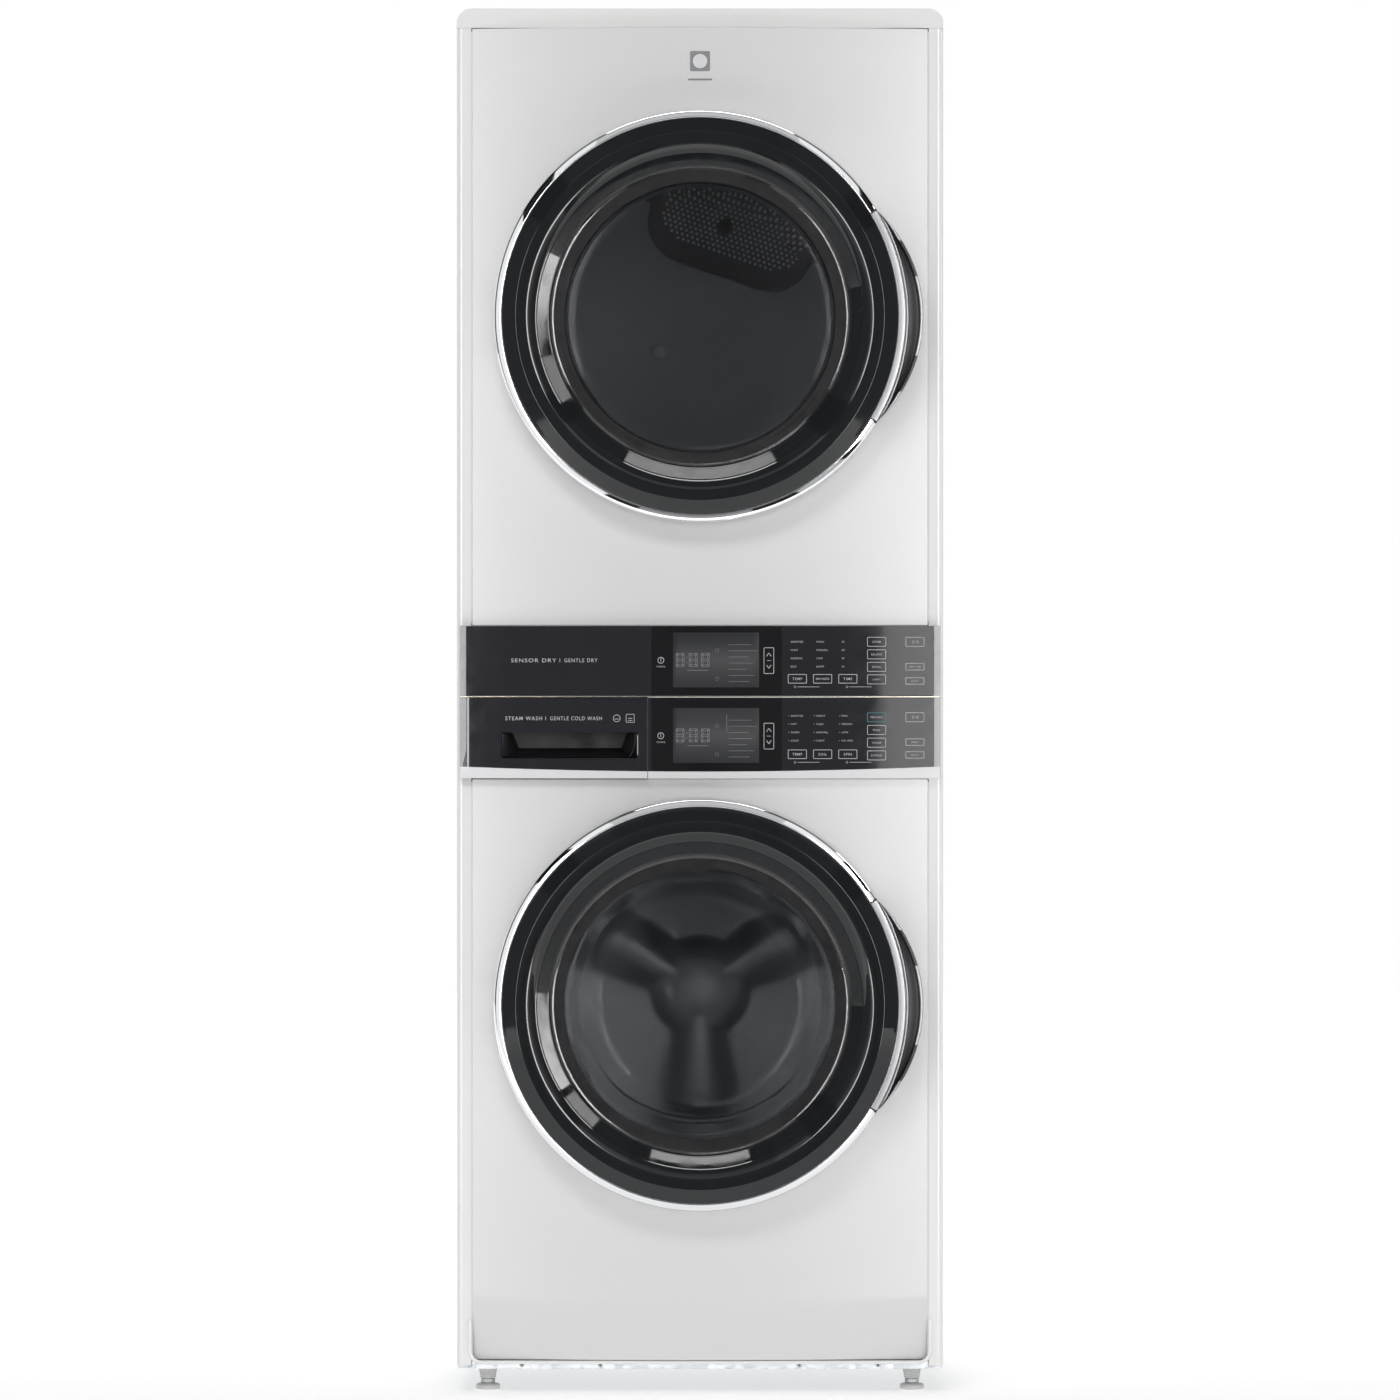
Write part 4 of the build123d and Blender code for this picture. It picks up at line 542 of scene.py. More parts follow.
def finish_cad_pieces():
    """Finishes of the pieces whose CAD shape stays."""
    for node in ("left_side_panel", "right_side_panel", "top_panel"):
        keep(node, ENAMEL, 0.8)
    for node in ("rear_panel", "base_frame", "mid_shelf", "heater_box", "exhaust_duct"):
        keep(node, GALVANISED, 0.4)
    keep("dryer_front_bulkhead", GALVANISED, 0.4)
    keep("dryer_rear_bulkhead", COATED_SHEET, 0.4)
    ends = GLASS_HIGH.x + 0.2
    lip = GLASS_LOW.z - 104
    # The console's ends and the drawer's left cheek get the darker copy of the white plastic: painted shade.
    keep("console_carrier", [WHITE_ABS, SHADED_END_ABS], 0.6, lambda p: int(abs(p.x) > ends and p.y < CROWN + 30 and p.z > lip))
    keep("drawer_fascia", [SOOT, SHADED_END_ABS], 0.5, lambda p: int(p.x < -ends and p.z > lip))
    keep("drawer_tray", GREY_PP, 0.5)
    keep("dispenser_housing", WHITE_ABS, 0.5)
    for node in ("outer_tub_front", "outer_tub_rear"):
        keep(node, TUB_PLASTIC, 0.8)
    keep("counterweights", CONCRETE, 3.0)
    keep("tub_suspension", PLATED_STEEL, 0.5)
    keep("door_bellows", BELLOWS_RUBBER)
    keep("door_catches", SOOT, 0.6)
    keep("hinge_brackets", PLATED_STEEL, 0.5)
    keep("water_inlet_valves", WHITE_ABS, 0.6)
    keep("drain_pump", SOOT, 0.6)
    keep("washer_motor", ALUMINIUM, 0.8)
    keep("dryer_motor", ALUMINIUM, 0.8)
    keep("washer_belt", BLACK_RUBBER, 0.3)
    keep("dryer_belt", BLACK_RUBBER, 0.3)
    keep("blower_housing", GREY_PP, 0.6)
    keep("washer_drum", STAINLESS["washer"])
    keep("dryer_drum", STAINLESS["dryer"])
    for door in AXIS:
        keep(f"{door}_drum_baffles", GREY_PP if door == "dryer" else STAINLESS[door], 4.0)
        keep(f"{door}_door_frame", WHITE_ABS, 0.5)
        keep(f"{door}_door_hinge", PLATED_STEEL, 0.5)
    keep("washer_drum_spider", ALUMINIUM, 1.5)
    keep("washer_drum_pulley", ALUMINIUM, 0.6)
    keep("washer_motor_pulley", PLATED_STEEL, 0.4)
    keep("dryer_motor_shaft", PLATED_STEEL, 0.4)
    keep("lint_filter", WHITE_ABS, 0.5)
    for side in ("left", "right"):
        keep(f"roller_{side}", BLACK_RUBBER, 1.0)


# ================================================================ front panels
def panel_face(x, z, toe):
    """Depth of a front panel's face: one long bow, and for the washer a toe that leans back."""
    main = arc_y(x, CROWN, PANEL_ARC)
    if not toe:
        return main
    lean = arc_y(x, CROWN + (TOE_CREASE - z) * TOE_SLOPE, TOE_ARC)
    soft = 0.5
    gap = (lean - main) / soft
    return main + soft * (max(gap, 0) + 0.35 * max(0, 1 - abs(gap)) ** 2)


def spaced(first, last, count):
    """Evenly spaced numbers from first to last."""
    return [first + (last - first) * i / count for i in range(count + 1)]


def front_panel(name, node, port_z, toe):
    """Pressed front: a bowed sheet with rolled edges round it and round its porthole."""
    low, high = corners(node)
    square, count = 282.0, 44
    half = high.x - EDGE_ROLL
    bottom, top = low.z + EDGE_ROLL, high.z - EDGE_ROLL
    across = spaced(-half, -square, 4)[:-1] + spaced(-square, square, count) + spaced(square, half, 4)[1:]
    below = sorted(set(spaced(bottom, port_z - square, 14)[:-1] + (spaced(108, 148, 16) if toe else [])))
    upward = below + [port_z + v for v in spaced(-square, square, count)]
    upward += spaced(port_z + square, top, 8)[1:]
    inside = set()
    index, points, faces = {}, [], []

    def place(key, x, z, y=None):
        if key not in index:
            index[key] = len(points)
            points.append((x, panel_face(x, z, toe) if y is None else y, z))
        return index[key]

    first_x, first_z = 4, len(below)
    for i in range(len(across) - 1):
        for j in range(len(upward) - 1):
            if first_x <= i < first_x + count and first_z <= j < first_z + count:
                inside.add((i, j))
                continue
            ring = [(i, j), (i + 1, j), (i + 1, j + 1), (i, j + 1)]
            faces.append([place(k, across[k[0]], upward[k[1]]) for k in ring])
    edge = [(first_x + k, first_z) for k in range(count)]
    edge += [(first_x + count, first_z + k) for k in range(count)]
    edge += [(first_x + count - k, first_z + count) for k in range(count)]
    edge += [(first_x, first_z + count - k) for k in range(count)]
    layers = 9
    port = PORT_RADIUS + PORT_ROLL
    for layer in range(layers + 1):
        share = (layer / layers) ** 0.8
        for k, (i, j) in enumerate(edge):
            x, z = across[i], upward[j]
            reach = hypot(x, z - port_z)
            scale = (1 - share) + share * port / reach
            key = (i, j) if layer == 0 else ("port", layer, k)
            place(key, x * scale, port_z + (z - port_z) * scale)
    for layer in range(layers):
        for k in range(len(edge)):
            n = (k + 1) % len(edge)
            a = [edge[k], edge[n]] if layer == 0 else [("port", layer, k), ("port", layer, n)]
            b = [("port", layer + 1, k), ("port", layer + 1, n)]
            faces.append([index[a[0]], index[a[1]], index[b[1]], index[b[0]]])
    turns = [radians(22.5 * n) for n in range(1, 5)]
    previous = [index[("port", layers, k)] for k in range(len(edge))]
    for turn in turns + [None]:
        row = []
        for k, (i, j) in enumerate(edge):
            angle = atan2(upward[j] - port_z, across[i])
            inset = PORT_ROLL * (sin(turn) if turn else 1)
            back = PORT_ROLL * (1 - cos(turn)) if turn else 14.0
            reach = port - inset
            x, z = reach * cos(angle), port_z + reach * sin(angle)
            face = panel_face(port * cos(angle), port_z + port * sin(angle), toe)
            row.append(place(("roll", turn, k), x, z, face + back))
        faces += [[previous[k], previous[k - 1], row[k - 1], row[k]] for k in range(len(edge))]
        previous = row
    last_i, last_j = len(across) - 1, len(upward) - 1
    border = [(i, 0) for i in range(last_i)] + [(last_i, j) for j in range(last_j)]
    border += [(i, last_j) for i in range(last_i, 0, -1)] + [(0, j) for j in range(last_j, 0, -1)]
    previous = [index[k] for k in border]
    for turn in turns + [None]:
        row = []
        for i, j in border:
            out = EDGE_ROLL * (sin(turn) if turn else 1)
            back = EDGE_ROLL * (1 - cos(turn)) if turn else 12.0
            x = across[i] + out * ((i == last_i) - (i == 0))
            z = upward[j] + out * ((j == last_j) - (j == 0))
            row.append(place(("edge", turn, i, j), x, z, panel_face(across[i], upward[j], toe) + back))
        faces += [[previous[k], previous[k - 1], row[k - 1], row[k]] for k in range(len(border))]
        previous = row
    # The darker copy of the white enamel paints shade on the bowed fronts.
    panel = make_mesh(name, points, faces, SHADED_FRONT_ENAMEL, "cabinet", "white_enamel", replaces=[node], sharp=50)
    if panel.data.polygons[0].normal.y > 0:
        panel.data.flip_normals()
    thicken(panel, SHEET)
    return even_shading(panel)


def latch_bezels():
    """Black bezels round the latch slots, and grommets round the hinge ears, in the front panels."""
    for door, z in AXIS.items():
        face = arc_y(257, CROWN, PANEL_ARC)
        outer = rounded([(-19, -14), (19, -14), (19, 14), (-19, 14)], 5)
        inner = rounded([(-14, -10), (14, -10), (14, 10), (-14, 10)], 3)
        rows = [(outer, 1.2), (outer, -0.6), (inner, -1.2), (inner, 3.0)]
        sections = [[(257 + x, face + back, z + dz) for x, dz in shape] for shape, back in rows]
        points, faces = loft(sections, False)
        bezel = make_mesh(f"{door}_latch_bezel", points, faces, SOOT, "cabinet", "dark_plastic")
        thicken(bezel, 0.8, 0)
        parts = []
        for side in (-1, 1):
            at = arc_y(-274, CROWN, PANEL_ARC)
            outline = box_outline(-281, -267, z + side * 34 - 10, z + side * 34 + 10, 4)
            parts.append(plate(outline, at - 0.8, at + 0.6))
        points, faces = merge(*parts)
        grommets = make_mesh(f"{door}_hinge_grommets", points, faces, BLACK_RUBBER, "cabinet", "black_rubber")
        round_edges(grommets, 0.4)


def gap_strips():
    """White strips behind the slits between the pressed fronts and the sides."""
    parts = []
    for node in ("dryer_front_panel", "washer_front_panel"):
        low, high = corners(node)
        for side in (-1, 1):
            edge = side * (high.x + 0.5)
            outline = box_outline(edge - 1.2, edge + 1.2, low.z + 4, high.z - 4, 0.4, 2)
            parts.append(plate(outline, PANEL_EDGE + 1.6, PANEL_EDGE + 3.2))
    make_mesh("front_edge_strips", *merge(*parts), WHITE_ABS, "cabinet", "white_plastic", sharp=40)


def bottom_trim():
    """White rolled edge that closes the front below the toe and turns up into the sides."""
    base_low, base_high = corners("base_frame")
    half, low, radius = PANEL_HALF + 3.5, base_high.z - 15.5, 17.0
    path = [(-half, low + 60), (-half, low + radius)]
    for k in range(1, 9):
        turn = radians(90 * k / 8)
        path.append((-half + radius * (1 - cos(turn)), low + radius * (1 - sin(turn))))
    path += [(x, low) for x in spaced(-half + radius, half - radius, 24)[1:-1]]
    path += [(-x, z) for x, z in reversed(path[:10])]
    sections = []
    for k, (x, z) in enumerate(path):
        before, after = path[max(k - 1, 0)], path[min(k + 1, len(path) - 1)]
        along = Vector((after[0] - before[0], after[1] - before[1])).normalized()
        side = Vector((-along.y, along.x))
        y = corners("base_frame")[0].y - 1.5
        shape = [(2.6 * cos(a), 1.8 * sin(a)) for a in spaced(0, 2 * pi, 12)[:-1]]
        sections.append([(x + side.x * u, y + v, z + side.y * u) for u, v in shape])
    points, faces = loft(sections)
    make_mesh("bottom_rolled_edge", points, faces, ENAMEL, "cabinet", "white_enamel", sharp=60)


# ================================================================ doors
def door_ring(door, z):
    """Chrome bead round the door, satin along the handle, and a thin black piece at each end as painted shade in the
    joint.
    """
    inner, outer = DOOR_RADIUS - RING_FACE, DOOR_RADIUS
    front = RING_FRONT
    bead = rounded(
        [(inner, front + 3), (inner, front + 0.9), (inner + 1.3, front), (inner + 5.2, front + 1.0),
         (outer - 1.8, front + 2.6), (outer, front + 6.4), (outer, front + 8.4), (outer - RING_WALL, front + 8.4),
         (outer - RING_WALL, front + 5)],
        [0.2, 0.9, 1.2, 3.0, 3.0, 1.6, 0.4, 0.2, 0.6], 5)
    skirt = [(outer - RING_WALL, front + 8.3), (outer, front + 8.3), (outer, DOOR_BACK - 0.6),
             (outer - 0.6, DOOR_BACK), (outer - RING_WALL, DOOR_BACK)]
    joint = radians(0.25)
    notch = [asin_of(h, outer) for h in (27.0, 41.0)]
    sweep = 2 * pi - 2 * HANDLE_ANGLE - 2 * joint
    chrome = lathe(bead, 0, z, 260, HANDLE_ANGLE + joint, sweep)
    walls = []
    spans = [(HANDLE_ANGLE + joint, pi - notch[1]), (pi - notch[0], pi + notch[0]),
             (pi + notch[1], 2 * pi - HANDLE_ANGLE - joint)]
    for start, stop in spans:
        walls.append(lathe(skirt, 0, z, max(8, int((stop - start) * 40)), start, stop - start))
    points, faces = merge(chrome, *walls)
    ring = f"{door}_door_ring"
    even_shading(make_mesh(f"{door}_chrome_ring", points, faces, CHROME, f"{door}_door", "chrome", (0, 0, z), [ring], 60))
    flat = rounded(
        [(inner, front + 3), (inner, front + 0.5), (inner + 0.9, front), (inner + 5, front + 0.1), (outer - 1.4, front + 0.5),
         (outer, front + 3.0), (outer, front + 8.4), (outer - RING_WALL, front + 8.4), (outer - RING_WALL, front + 5)],
        [0.2, 0.5, 0.8, 3.0, 1.4, 1.4, 0.4, 0.2, 0.6], 5)
    arc = lathe(flat, 0, z, 60, -HANDLE_ANGLE + joint, 2 * (HANDLE_ANGLE - joint))
    wall = lathe(skirt, 0, z, 50, -HANDLE_ANGLE + joint, 2 * (HANDLE_ANGLE - joint))
    points, faces = merge(arc, wall)
    even_shading(make_mesh(f"{door}_handle_face", points, faces, SATIN, f"{door}_door", "silver_plastic", (0, 0, z), sharp=60))
    # Black pieces in the joints between the chrome and the satin: painted shade.
    shadow = [(inner + 0.4, front + 1.4), (outer - 0.4, front + 1.8), (outer - 0.6, DOOR_BACK - 1), (inner + 6, front + 8)]
    parts = [lathe(shadow, 0, z, 4, side * HANDLE_ANGLE - 2 * joint, 4 * joint) for side in (-1, 1)]
    points, faces = merge(*parts)
    make_mesh(f"{door}_ring_joint_shade", points, faces, SOOT, f"{door}_door", "dark_plastic", (0, 0, z))


def asin_of(side, radius):
    """Angle whose sine is side over radius."""
    return pi / 2 - acos(side / radius)


def door_lens(door, z):
    """Outer lens: a crest inside the ring, a funnel and a recessed window, one smooth moulding."""
    front, rim = CREST_FRONT, DOOR_RADIUS - RING_FACE - 0.3
    window = front + 31.0
    sheet = LENS_SHEET
    outside = [(0, window - 1.0), (90, window - 0.8), (190, window - 0.2), (WINDOW_RADIUS - 6, window),
               (WINDOW_RADIUS, window - 2.5), (CREST_INNER - 9, front + 6), (CREST_INNER + 2, front + 0.3),
               (249, front), (CREST_OUTER, front + 0.1), (rim - 4, front + 8.6), (rim, front + 10.6)]
    inside = [(rim, front + 12.2), (rim - 6, front + 12.0), (CREST_OUTER - 1, front + sheet + 1),
              (CREST_INNER + 3, front + sheet + 1), (CREST_INNER - 7, front + sheet + 6),
              (WINDOW_RADIUS + 1.5, window + sheet - 3), (WINDOW_RADIUS - 6, window + sheet),
              (0, window + sheet)]
    radii = [0, 8, 8, 3, 3, 9, 7, 0, 0.5, 0.5, 0.3, 0.3, 3, 3, 4, 8, 4, 3, 0]
    profile = rounded(outside + inside, radii, 7)
    points, faces = lathe(profile, 0, z, 200)
    node = f"{door}_door_lens"
    materials = [LENS, LENS_BAND]
    lens = make_mesh(f"{door}_smoked_lens", points, faces, materials, f"{door}_door", "smoked_glass", (0, 0, z), [node], 20)
    paint(lens, lambda p: int(hypot(p.x, p.z - z) > WINDOW_RADIUS - 2))
    even_shading(lens).visible_shadow = False


def door_glass(door, z):
    """Inner glass, pressed with a thick seat, a curved side and a flat or bowl-shaped end."""
    node = f"{door}_door_glass"
    low, high = corners(node)
    seat, tip = low.y + GLASS_WALL, high.y
    narrow = GLASS_NECK - (38.5 if door == "washer" else 16.5)
    deep = tip - DOOR_BACK
    side = [(GLASS_NECK, DOOR_BACK + 0.5), (GLASS_NECK - 4, DOOR_BACK + deep * 0.25)]
    profile = [(GLASS_FLANGE, seat - GLASS_WALL), (GLASS_FLANGE, seat), (GLASS_NECK, seat), *side,
               (narrow + 12, tip - deep * 0.22), (narrow - 10, tip), (0, tip),
               (0, tip - GLASS_WALL), (narrow - 13, tip - GLASS_WALL), (narrow + 5, tip - deep * 0.22 - 3),
               (GLASS_NECK - 10, DOOR_BACK + deep * 0.25), (GLASS_NECK - 6, seat - GLASS_WALL + 1.5),
               (GLASS_NECK - 1, seat - GLASS_WALL)]
    radii = [1, 1, 0.5, 1, 30, 60, 60, 0, 0, 60, 60, 30, 3, 3]
    points, faces = lathe(rounded(profile, radii, 9), 0, z, 180)
    glass = make_mesh(f"{door}_glass_bowl", points, faces, DOOR_GLASS, f"{door}_door", "clear_glass", (0, 0, z), [node], 60)
    even_shading(glass).visible_shadow = False
    band = [(GLASS_FLANGE - 0.5, seat - GLASS_WALL - 0.6), (GLASS_NECK - 8, seat - GLASS_WALL - 0.6),
            (GLASS_NECK - 8, seat - GLASS_WALL - 2.6), (GLASS_FLANGE - 0.5, seat - GLASS_WALL - 2.6)]
    points, faces = lathe(rounded(band, 0.6, 3), 0, z, 140)
    make_mesh(f"{door}_glass_gasket", points, faces, BLACK_RUBBER, f"{door}_door", "black_rubber", (0, 0, z), sharp=50)


def door_grip(door, z):
    """Handle: a satin rim that bulges past the ring, black in two bands as painted shade, and the dark finger pocket
    behind it.
    """
    node = f"{door}_door_grip"
    low, high = corners(node)
    reach, shoulder = high.x, (high.z - low.z) / 2
    foot = sqrt(DOOR_RADIUS**2 - shoulder**2)
    radius = ((reach - foot) ** 2 + shoulder**2) / (2 * (reach - foot))
    middle = reach - radius
    inner, front = DOOR_RADIUS + 0.3, low.y
    sections = []
    for t in spaced(-1, 1, 96):
        dz = (shoulder - 2.5) * sin(t * pi / 2)
        near = sqrt(inner**2 - dz**2)
        far = max(middle + sqrt(radius**2 - dz**2), near + 0.6)
        room = far - near
        rim = min(GRIP_RIM, room * 0.4)
        lip = min(2.5, room * 0.25)
        open_room = max(room - rim - lip, 0.05)
        depth = POCKET_DEPTH * min(1, open_room / 7)
        pocket_near, pocket_far = near + lip, near + lip + open_room
        shape = [(near, high.y), (near, front + 1.5), (pocket_near, front + 1.5),
                 (pocket_near + 0.02, front + depth), (pocket_far - 0.02, front + depth),
                 (pocket_far, front + 1.2), (pocket_far + rim * 0.25, front), (far - rim * 0.3, front),
                 (far, front + rim * 0.6), (far, high.y)]
        soft = rounded(shape, [0.1, 0.3, 0.3, 3.0, 3.0, 0.6, 0.6, 1.5, 1.5, 0.1], 3)
        sections.append([(x, y, z + dz) for x, y in soft])
    points, faces = loft(sections)
    grip = make_mesh(f"{door}_pull_grip", points, faces, [LIT_RIM_SATIN, CHARCOAL, SOOT], f"{door}_door", "silver_plastic",
                     (0, 0, z), [node], 40)

    def zone(p):
        far = middle + sqrt(max(radius**2 - (p.z - z) ** 2, 0)) - GRIP_RIM - 0.3
        # On the rim, the black bands from 55 to 107 mm off the axis are painted shade.
        if p.x > far:
            return 2 if 55 < abs(p.z - z) < 107 else 0
        return int(hypot(p.x, p.z - z) > inner + 1.5 and p.y > front + 1.0)

    paint(grip, zone)


def door_back_seal(door, z):
    """Rubber seal on the back of the door, where it meets the porthole."""
    y = DOOR_BACK + 0.2
    lip = [(206, y - 0.4), (206, y + 3.4), (209, y + 5.6), (213, y + 5.6), (214, y + 2.0), (220, y + 1.4), (220, y - 0.4)]
    points, faces = lathe(rounded(lip, 0.8, 3), 0, z, 160)
    make_mesh(f"{door}_door_seal", points, faces, BLACK_RUBBER, f"{door}_door", "black_rubber", (0, 0, z), sharp=50)


# ================================================================ inside the drums
def washer_back_relief(z):
    """Pressed back of the washer's drum: three rounded lobes that leave a three-armed ridge."""
    low, high = corners("washer_drum")
    wall = high.y - 2.6
    rim, height = 236.0, 34.0
    rings, spokes = 44, 180
    points, faces = [], []
    for i in range(rings + 1):
        r = rim * i / rings
        for k in range(spokes):
            angle = 2 * pi * k / spokes
            x, dz = r * cos(angle), r * sin(angle)
            ridge = 0.0
            for arm in (30, 150, 270):
                a = radians(arm)
                along = x * cos(a) + dz * sin(a)
                away = abs(-x * sin(a) + dz * cos(a))
                wide = 34 + 0.22 * max(along, 0)
                if along > -wide:
                    share = min(1.0, away / wide)
                    ridge = max(ridge, (1 - share**2) ** 2)
            hub = max(0.0, 1 - (r / 74) ** 2) ** 0.6 if r < 74 else 0.0
            fade = min(1.0, (rim - r) / 46)
            fade = fade * fade * (3 - 2 * fade)
            dome = (1 - (r / rim) ** 2) * 10
            rise = (height * max(ridge * 0.8, hub) + dome) * fade
            points.append((x, wall - rise, z + dz))
    for i in range(rings):
        for k in range(spokes):
            n = (k + 1) % spokes
            faces.append((i * spokes + k, i * spokes + n, (i + 1) * spokes + n, (i + 1) * spokes + k))
    back = make_mesh("washer_drum_pressed_back", points, faces, STAINLESS["washer"], "washer_drum", "stainless",
                     sharp=80)
    if sum(p.normal.y for p in back.data.polygons) > 0:
        back.data.flip_normals()
    thicken(back, 0.8)


def drum_holes(door, z, pitch, hole, body):
    """Perforations: the drum wall's drain holes as black dished dimples, painted shade in place of open holes, in
    staggered rows.
    """
    low, high = corners(f"{door}_drum")
    radius = high.x - 2.15
    parts = []
    rows = int((high.y - low.y - 90) / pitch)
    for row in range(rows):
        y = low.y + 45 + pitch * (row + 0.5)
        around = int(2 * pi * radius / pitch)
        for k in range(around):
            angle = 2 * pi * (k + 0.5 * (row % 2)) / around
            if any(abs((angle - radians(a) + pi) % (2 * pi) - pi) < 0.19 for a in (90, 210, 330)):
                continue
            out = Vector((cos(angle), 0, sin(angle)))
            side = Vector((-sin(angle), 0, cos(angle)))
            middle = Vector((0, y, z)) + out * radius
            rim = []
            for ring, rise in ((hole, 0.0), (hole * 0.62, 0.55), (hole * 0.5, 0.1)):
                rim.append([tuple(middle + side * ring * cos(t) + Vector((0, ring * sin(t), 0)) - out * rise)
                            for t in spaced(0, 2 * pi, 6)[:-1]])
            points, faces = loft(rim, False)
            faces.append(tuple(range(12, 18)))
            parts.append((points, faces))
    points, faces = merge(*parts)
    # Black dimples paint the shade seen inside the holes.
    make_mesh(f"{door}_drum_hole_shade", points, faces, SOOT, body, "dark_plastic", sharp=60)


def dryer_inlet_grille(z):
    """Perforated warm-air grille in the dryer's back wall, with its dished screw boss."""
    low, high = corners("dryer_rear_bulkhead")
    wall = low.y if low.y > 100 else 225.0
    face = 225.0
    middle_x, middle_up = 45.0, 1668.0
    tilt = radians(-19)
    along = Vector((cos(tilt), 0, sin(tilt)))
    up = Vector((-sin(tilt), 0, cos(tilt)))
    half_length, half_height = 126.0, 62.0
    straight = half_length - half_height

    def at(u, v, y):
        p = Vector((middle_x, y, middle_up)) + along * u + up * v
        return (p.x, p.y, p.z)

    outline = [(straight + half_height * cos(a), half_height * sin(a)) for a in spaced(-pi / 2, pi / 2, 16)]
    outline += [(-straight + half_height * cos(a), half_height * sin(a)) for a in spaced(pi / 2, 3 * pi / 2, 16)]
    rows = [(1.0, 0.4), (1.0, -1.2), (0.965, -2.4), (0.93, -1.4)]
    sections = [[at(u * s, v * s, face + dy) for u, v in outline] for s, dy in rows]
    points, faces = loft(sections, True)
    dish = make_mesh("dryer_grille_plate", points, faces, CHARCOAL, "cabinet", "galvanised", sharp=40)
    parts, pitch = [], 8.0
    for i in range(-16, 17):
        for j in range(-8, 9):
            u, v = (i + 0.5 * (j % 2)) * pitch, j * pitch * 0.87
            end = max(abs(u) - straight, 0)
            if hypot(end, v - 12) > half_height - 20 or hypot(u + 12, v - 10) < 12:
                continue
            dot = circle(0, 0, 2.3, 10)
            sections = [[at(u + a * s, v + b * s, face - 1.3 - dy) for a, b in dot] for s, dy in ((1, 0), (0.8, 0.7), (0.3, 1.0))]
            parts.append(loft(sections, True))
    points, faces = merge(*parts)
    make_mesh("dryer_grille_perforations", points, faces, GRILLE_DOTS, "cabinet", "steel", sharp=60)
    boss = rounded([(0, -4.6), (4, -4.6), (5.5, -3.6), (11, -3.2), (12, -1.0), (0, -1.0)], 0.8, 3)
    points, faces = lathe([(r, face + y) for r, y in boss], 0, 0, 32)
    spot = at(-12, 10, 0)
    points = [(x + spot[0], y, zz + spot[2]) for x, y, zz in points]
    make_mesh("dryer_grille_boss", points, faces, SOOT, "cabinet", "dark_plastic", sharp=50)
    for name, x, up_z, r in (("sensor_cap", -63, 1496, 11), ("back_wall_screw", -112, 1384, 5)):
        cap = rounded([(0, -2.6), (r * 0.6, -2.2), (r, -1.2), (r, 0.0), (0, 0.0)], 0.6, 3)
        points, faces = lathe([(a, face + y) for a, y in cap], x, up_z, 36)
        make_mesh(f"dryer_{name}", points, faces, PLATED_STEEL, "cabinet", "steel", sharp=50)


# ================================================================ console printing
def on_console(shape, lift=INK_LIFT):
    """Wraps a flat shape of x and z points onto the console's bowed face."""
    points, faces = shape
    return [(x, console_y(x, lift), z) for x, z in points], faces


def frame_lines(left, right, low, high, radius, line):
    """A rounded rectangle drawn as a line."""
    outer = box_outline(left, right, low, high, radius, 3)
    inner = box_outline(left + line, right - line, low + line, high - line, max(radius - line, 0.2), 3)
    size = len(outer)
    faces = [(i, (i + 1) % size, size + (i + 1) % size, size + i) for i in range(size)]
    return outer + inner, faces


def bar(left, right, low, high):
    """A filled rectangle, in short lengths so that it can follow a bow."""
    count = ceil((right - left) / 8)
    points = [(x, z) for x in spaced(left, right, count) for z in (low, high)]
    return points, [(2 * k, 2 * k + 2, 2 * k + 3, 2 * k + 1) for k in range(count)]


def stroke(first, last, line):
    """A straight stroke between two points."""
    along = Vector((last[0] - first[0], last[1] - first[1])).normalized()
    side = Vector((-along.y, along.x)) * line / 2
    a, b = Vector(first), Vector(last)
    return [tuple(a + side), tuple(b + side), tuple(b - side), tuple(a - side)], [(0, 1, 2, 3)]


def ring_line(x, z, radius, line, start=0.0, sweep=2 * pi, steps=24):
    """An arc or circle drawn as a line."""
    points, faces = [], []
    for a in spaced(start, start + sweep, steps):
        points += [(x + radius * cos(a), z + radius * sin(a)), (x + (radius - line) * cos(a), z + (radius - line) * sin(a))]
    for k in range(steps):
        faces.append((2 * k, 2 * k + 2, 2 * k + 3, 2 * k + 1))
    return points, faces


def words(text, x, z, height, bold=False, centred=False, width=None):
    """A generic word in plain capitals, as flat faces; x is its left side or its middle."""
    curve = bpy.data.curves.new("lettering", "FONT")
    curve.body = text
    curve.size = height * 1.42
    curve.space_character = 1.2
    curve.offset = 0.03 if bold else 0.0
    curve.resolution_u = 3
    curve.align_x = "CENTER" if centred else "LEFT"
    holder = bpy.data.objects.new("lettering", curve)
    mesh = bpy.data.meshes.new_from_object(holder)
    squeeze = width / max(v.co.x for v in mesh.vertices) if width else 1.0
    points = [(x + v.co.x * squeeze, z - height / 2 + v.co.y) for v in mesh.vertices]
    faces = [tuple(p.vertices) for p in mesh.polygons]
    bpy.data.objects.remove(holder)
    bpy.data.curves.remove(curve)
    bpy.data.meshes.remove(mesh)
    return points, faces


def print_on(name, shapes, material, body="cabinet", lift=INK_LIFT):
    """Prints flat shapes on the console's glass as one thin layer of ink."""
    wrapped = [on_console(shape, lift) for shape in shapes]
    points, faces = merge(*wrapped)
    layer = make_mesh(name, points, faces, material, body, "silver_plastic", sharp=80)
    for polygon in layer.data.polygons:
        if polygon.normal.y > 0:
            polygon.flip()
    return thicken(layer, 0.06)


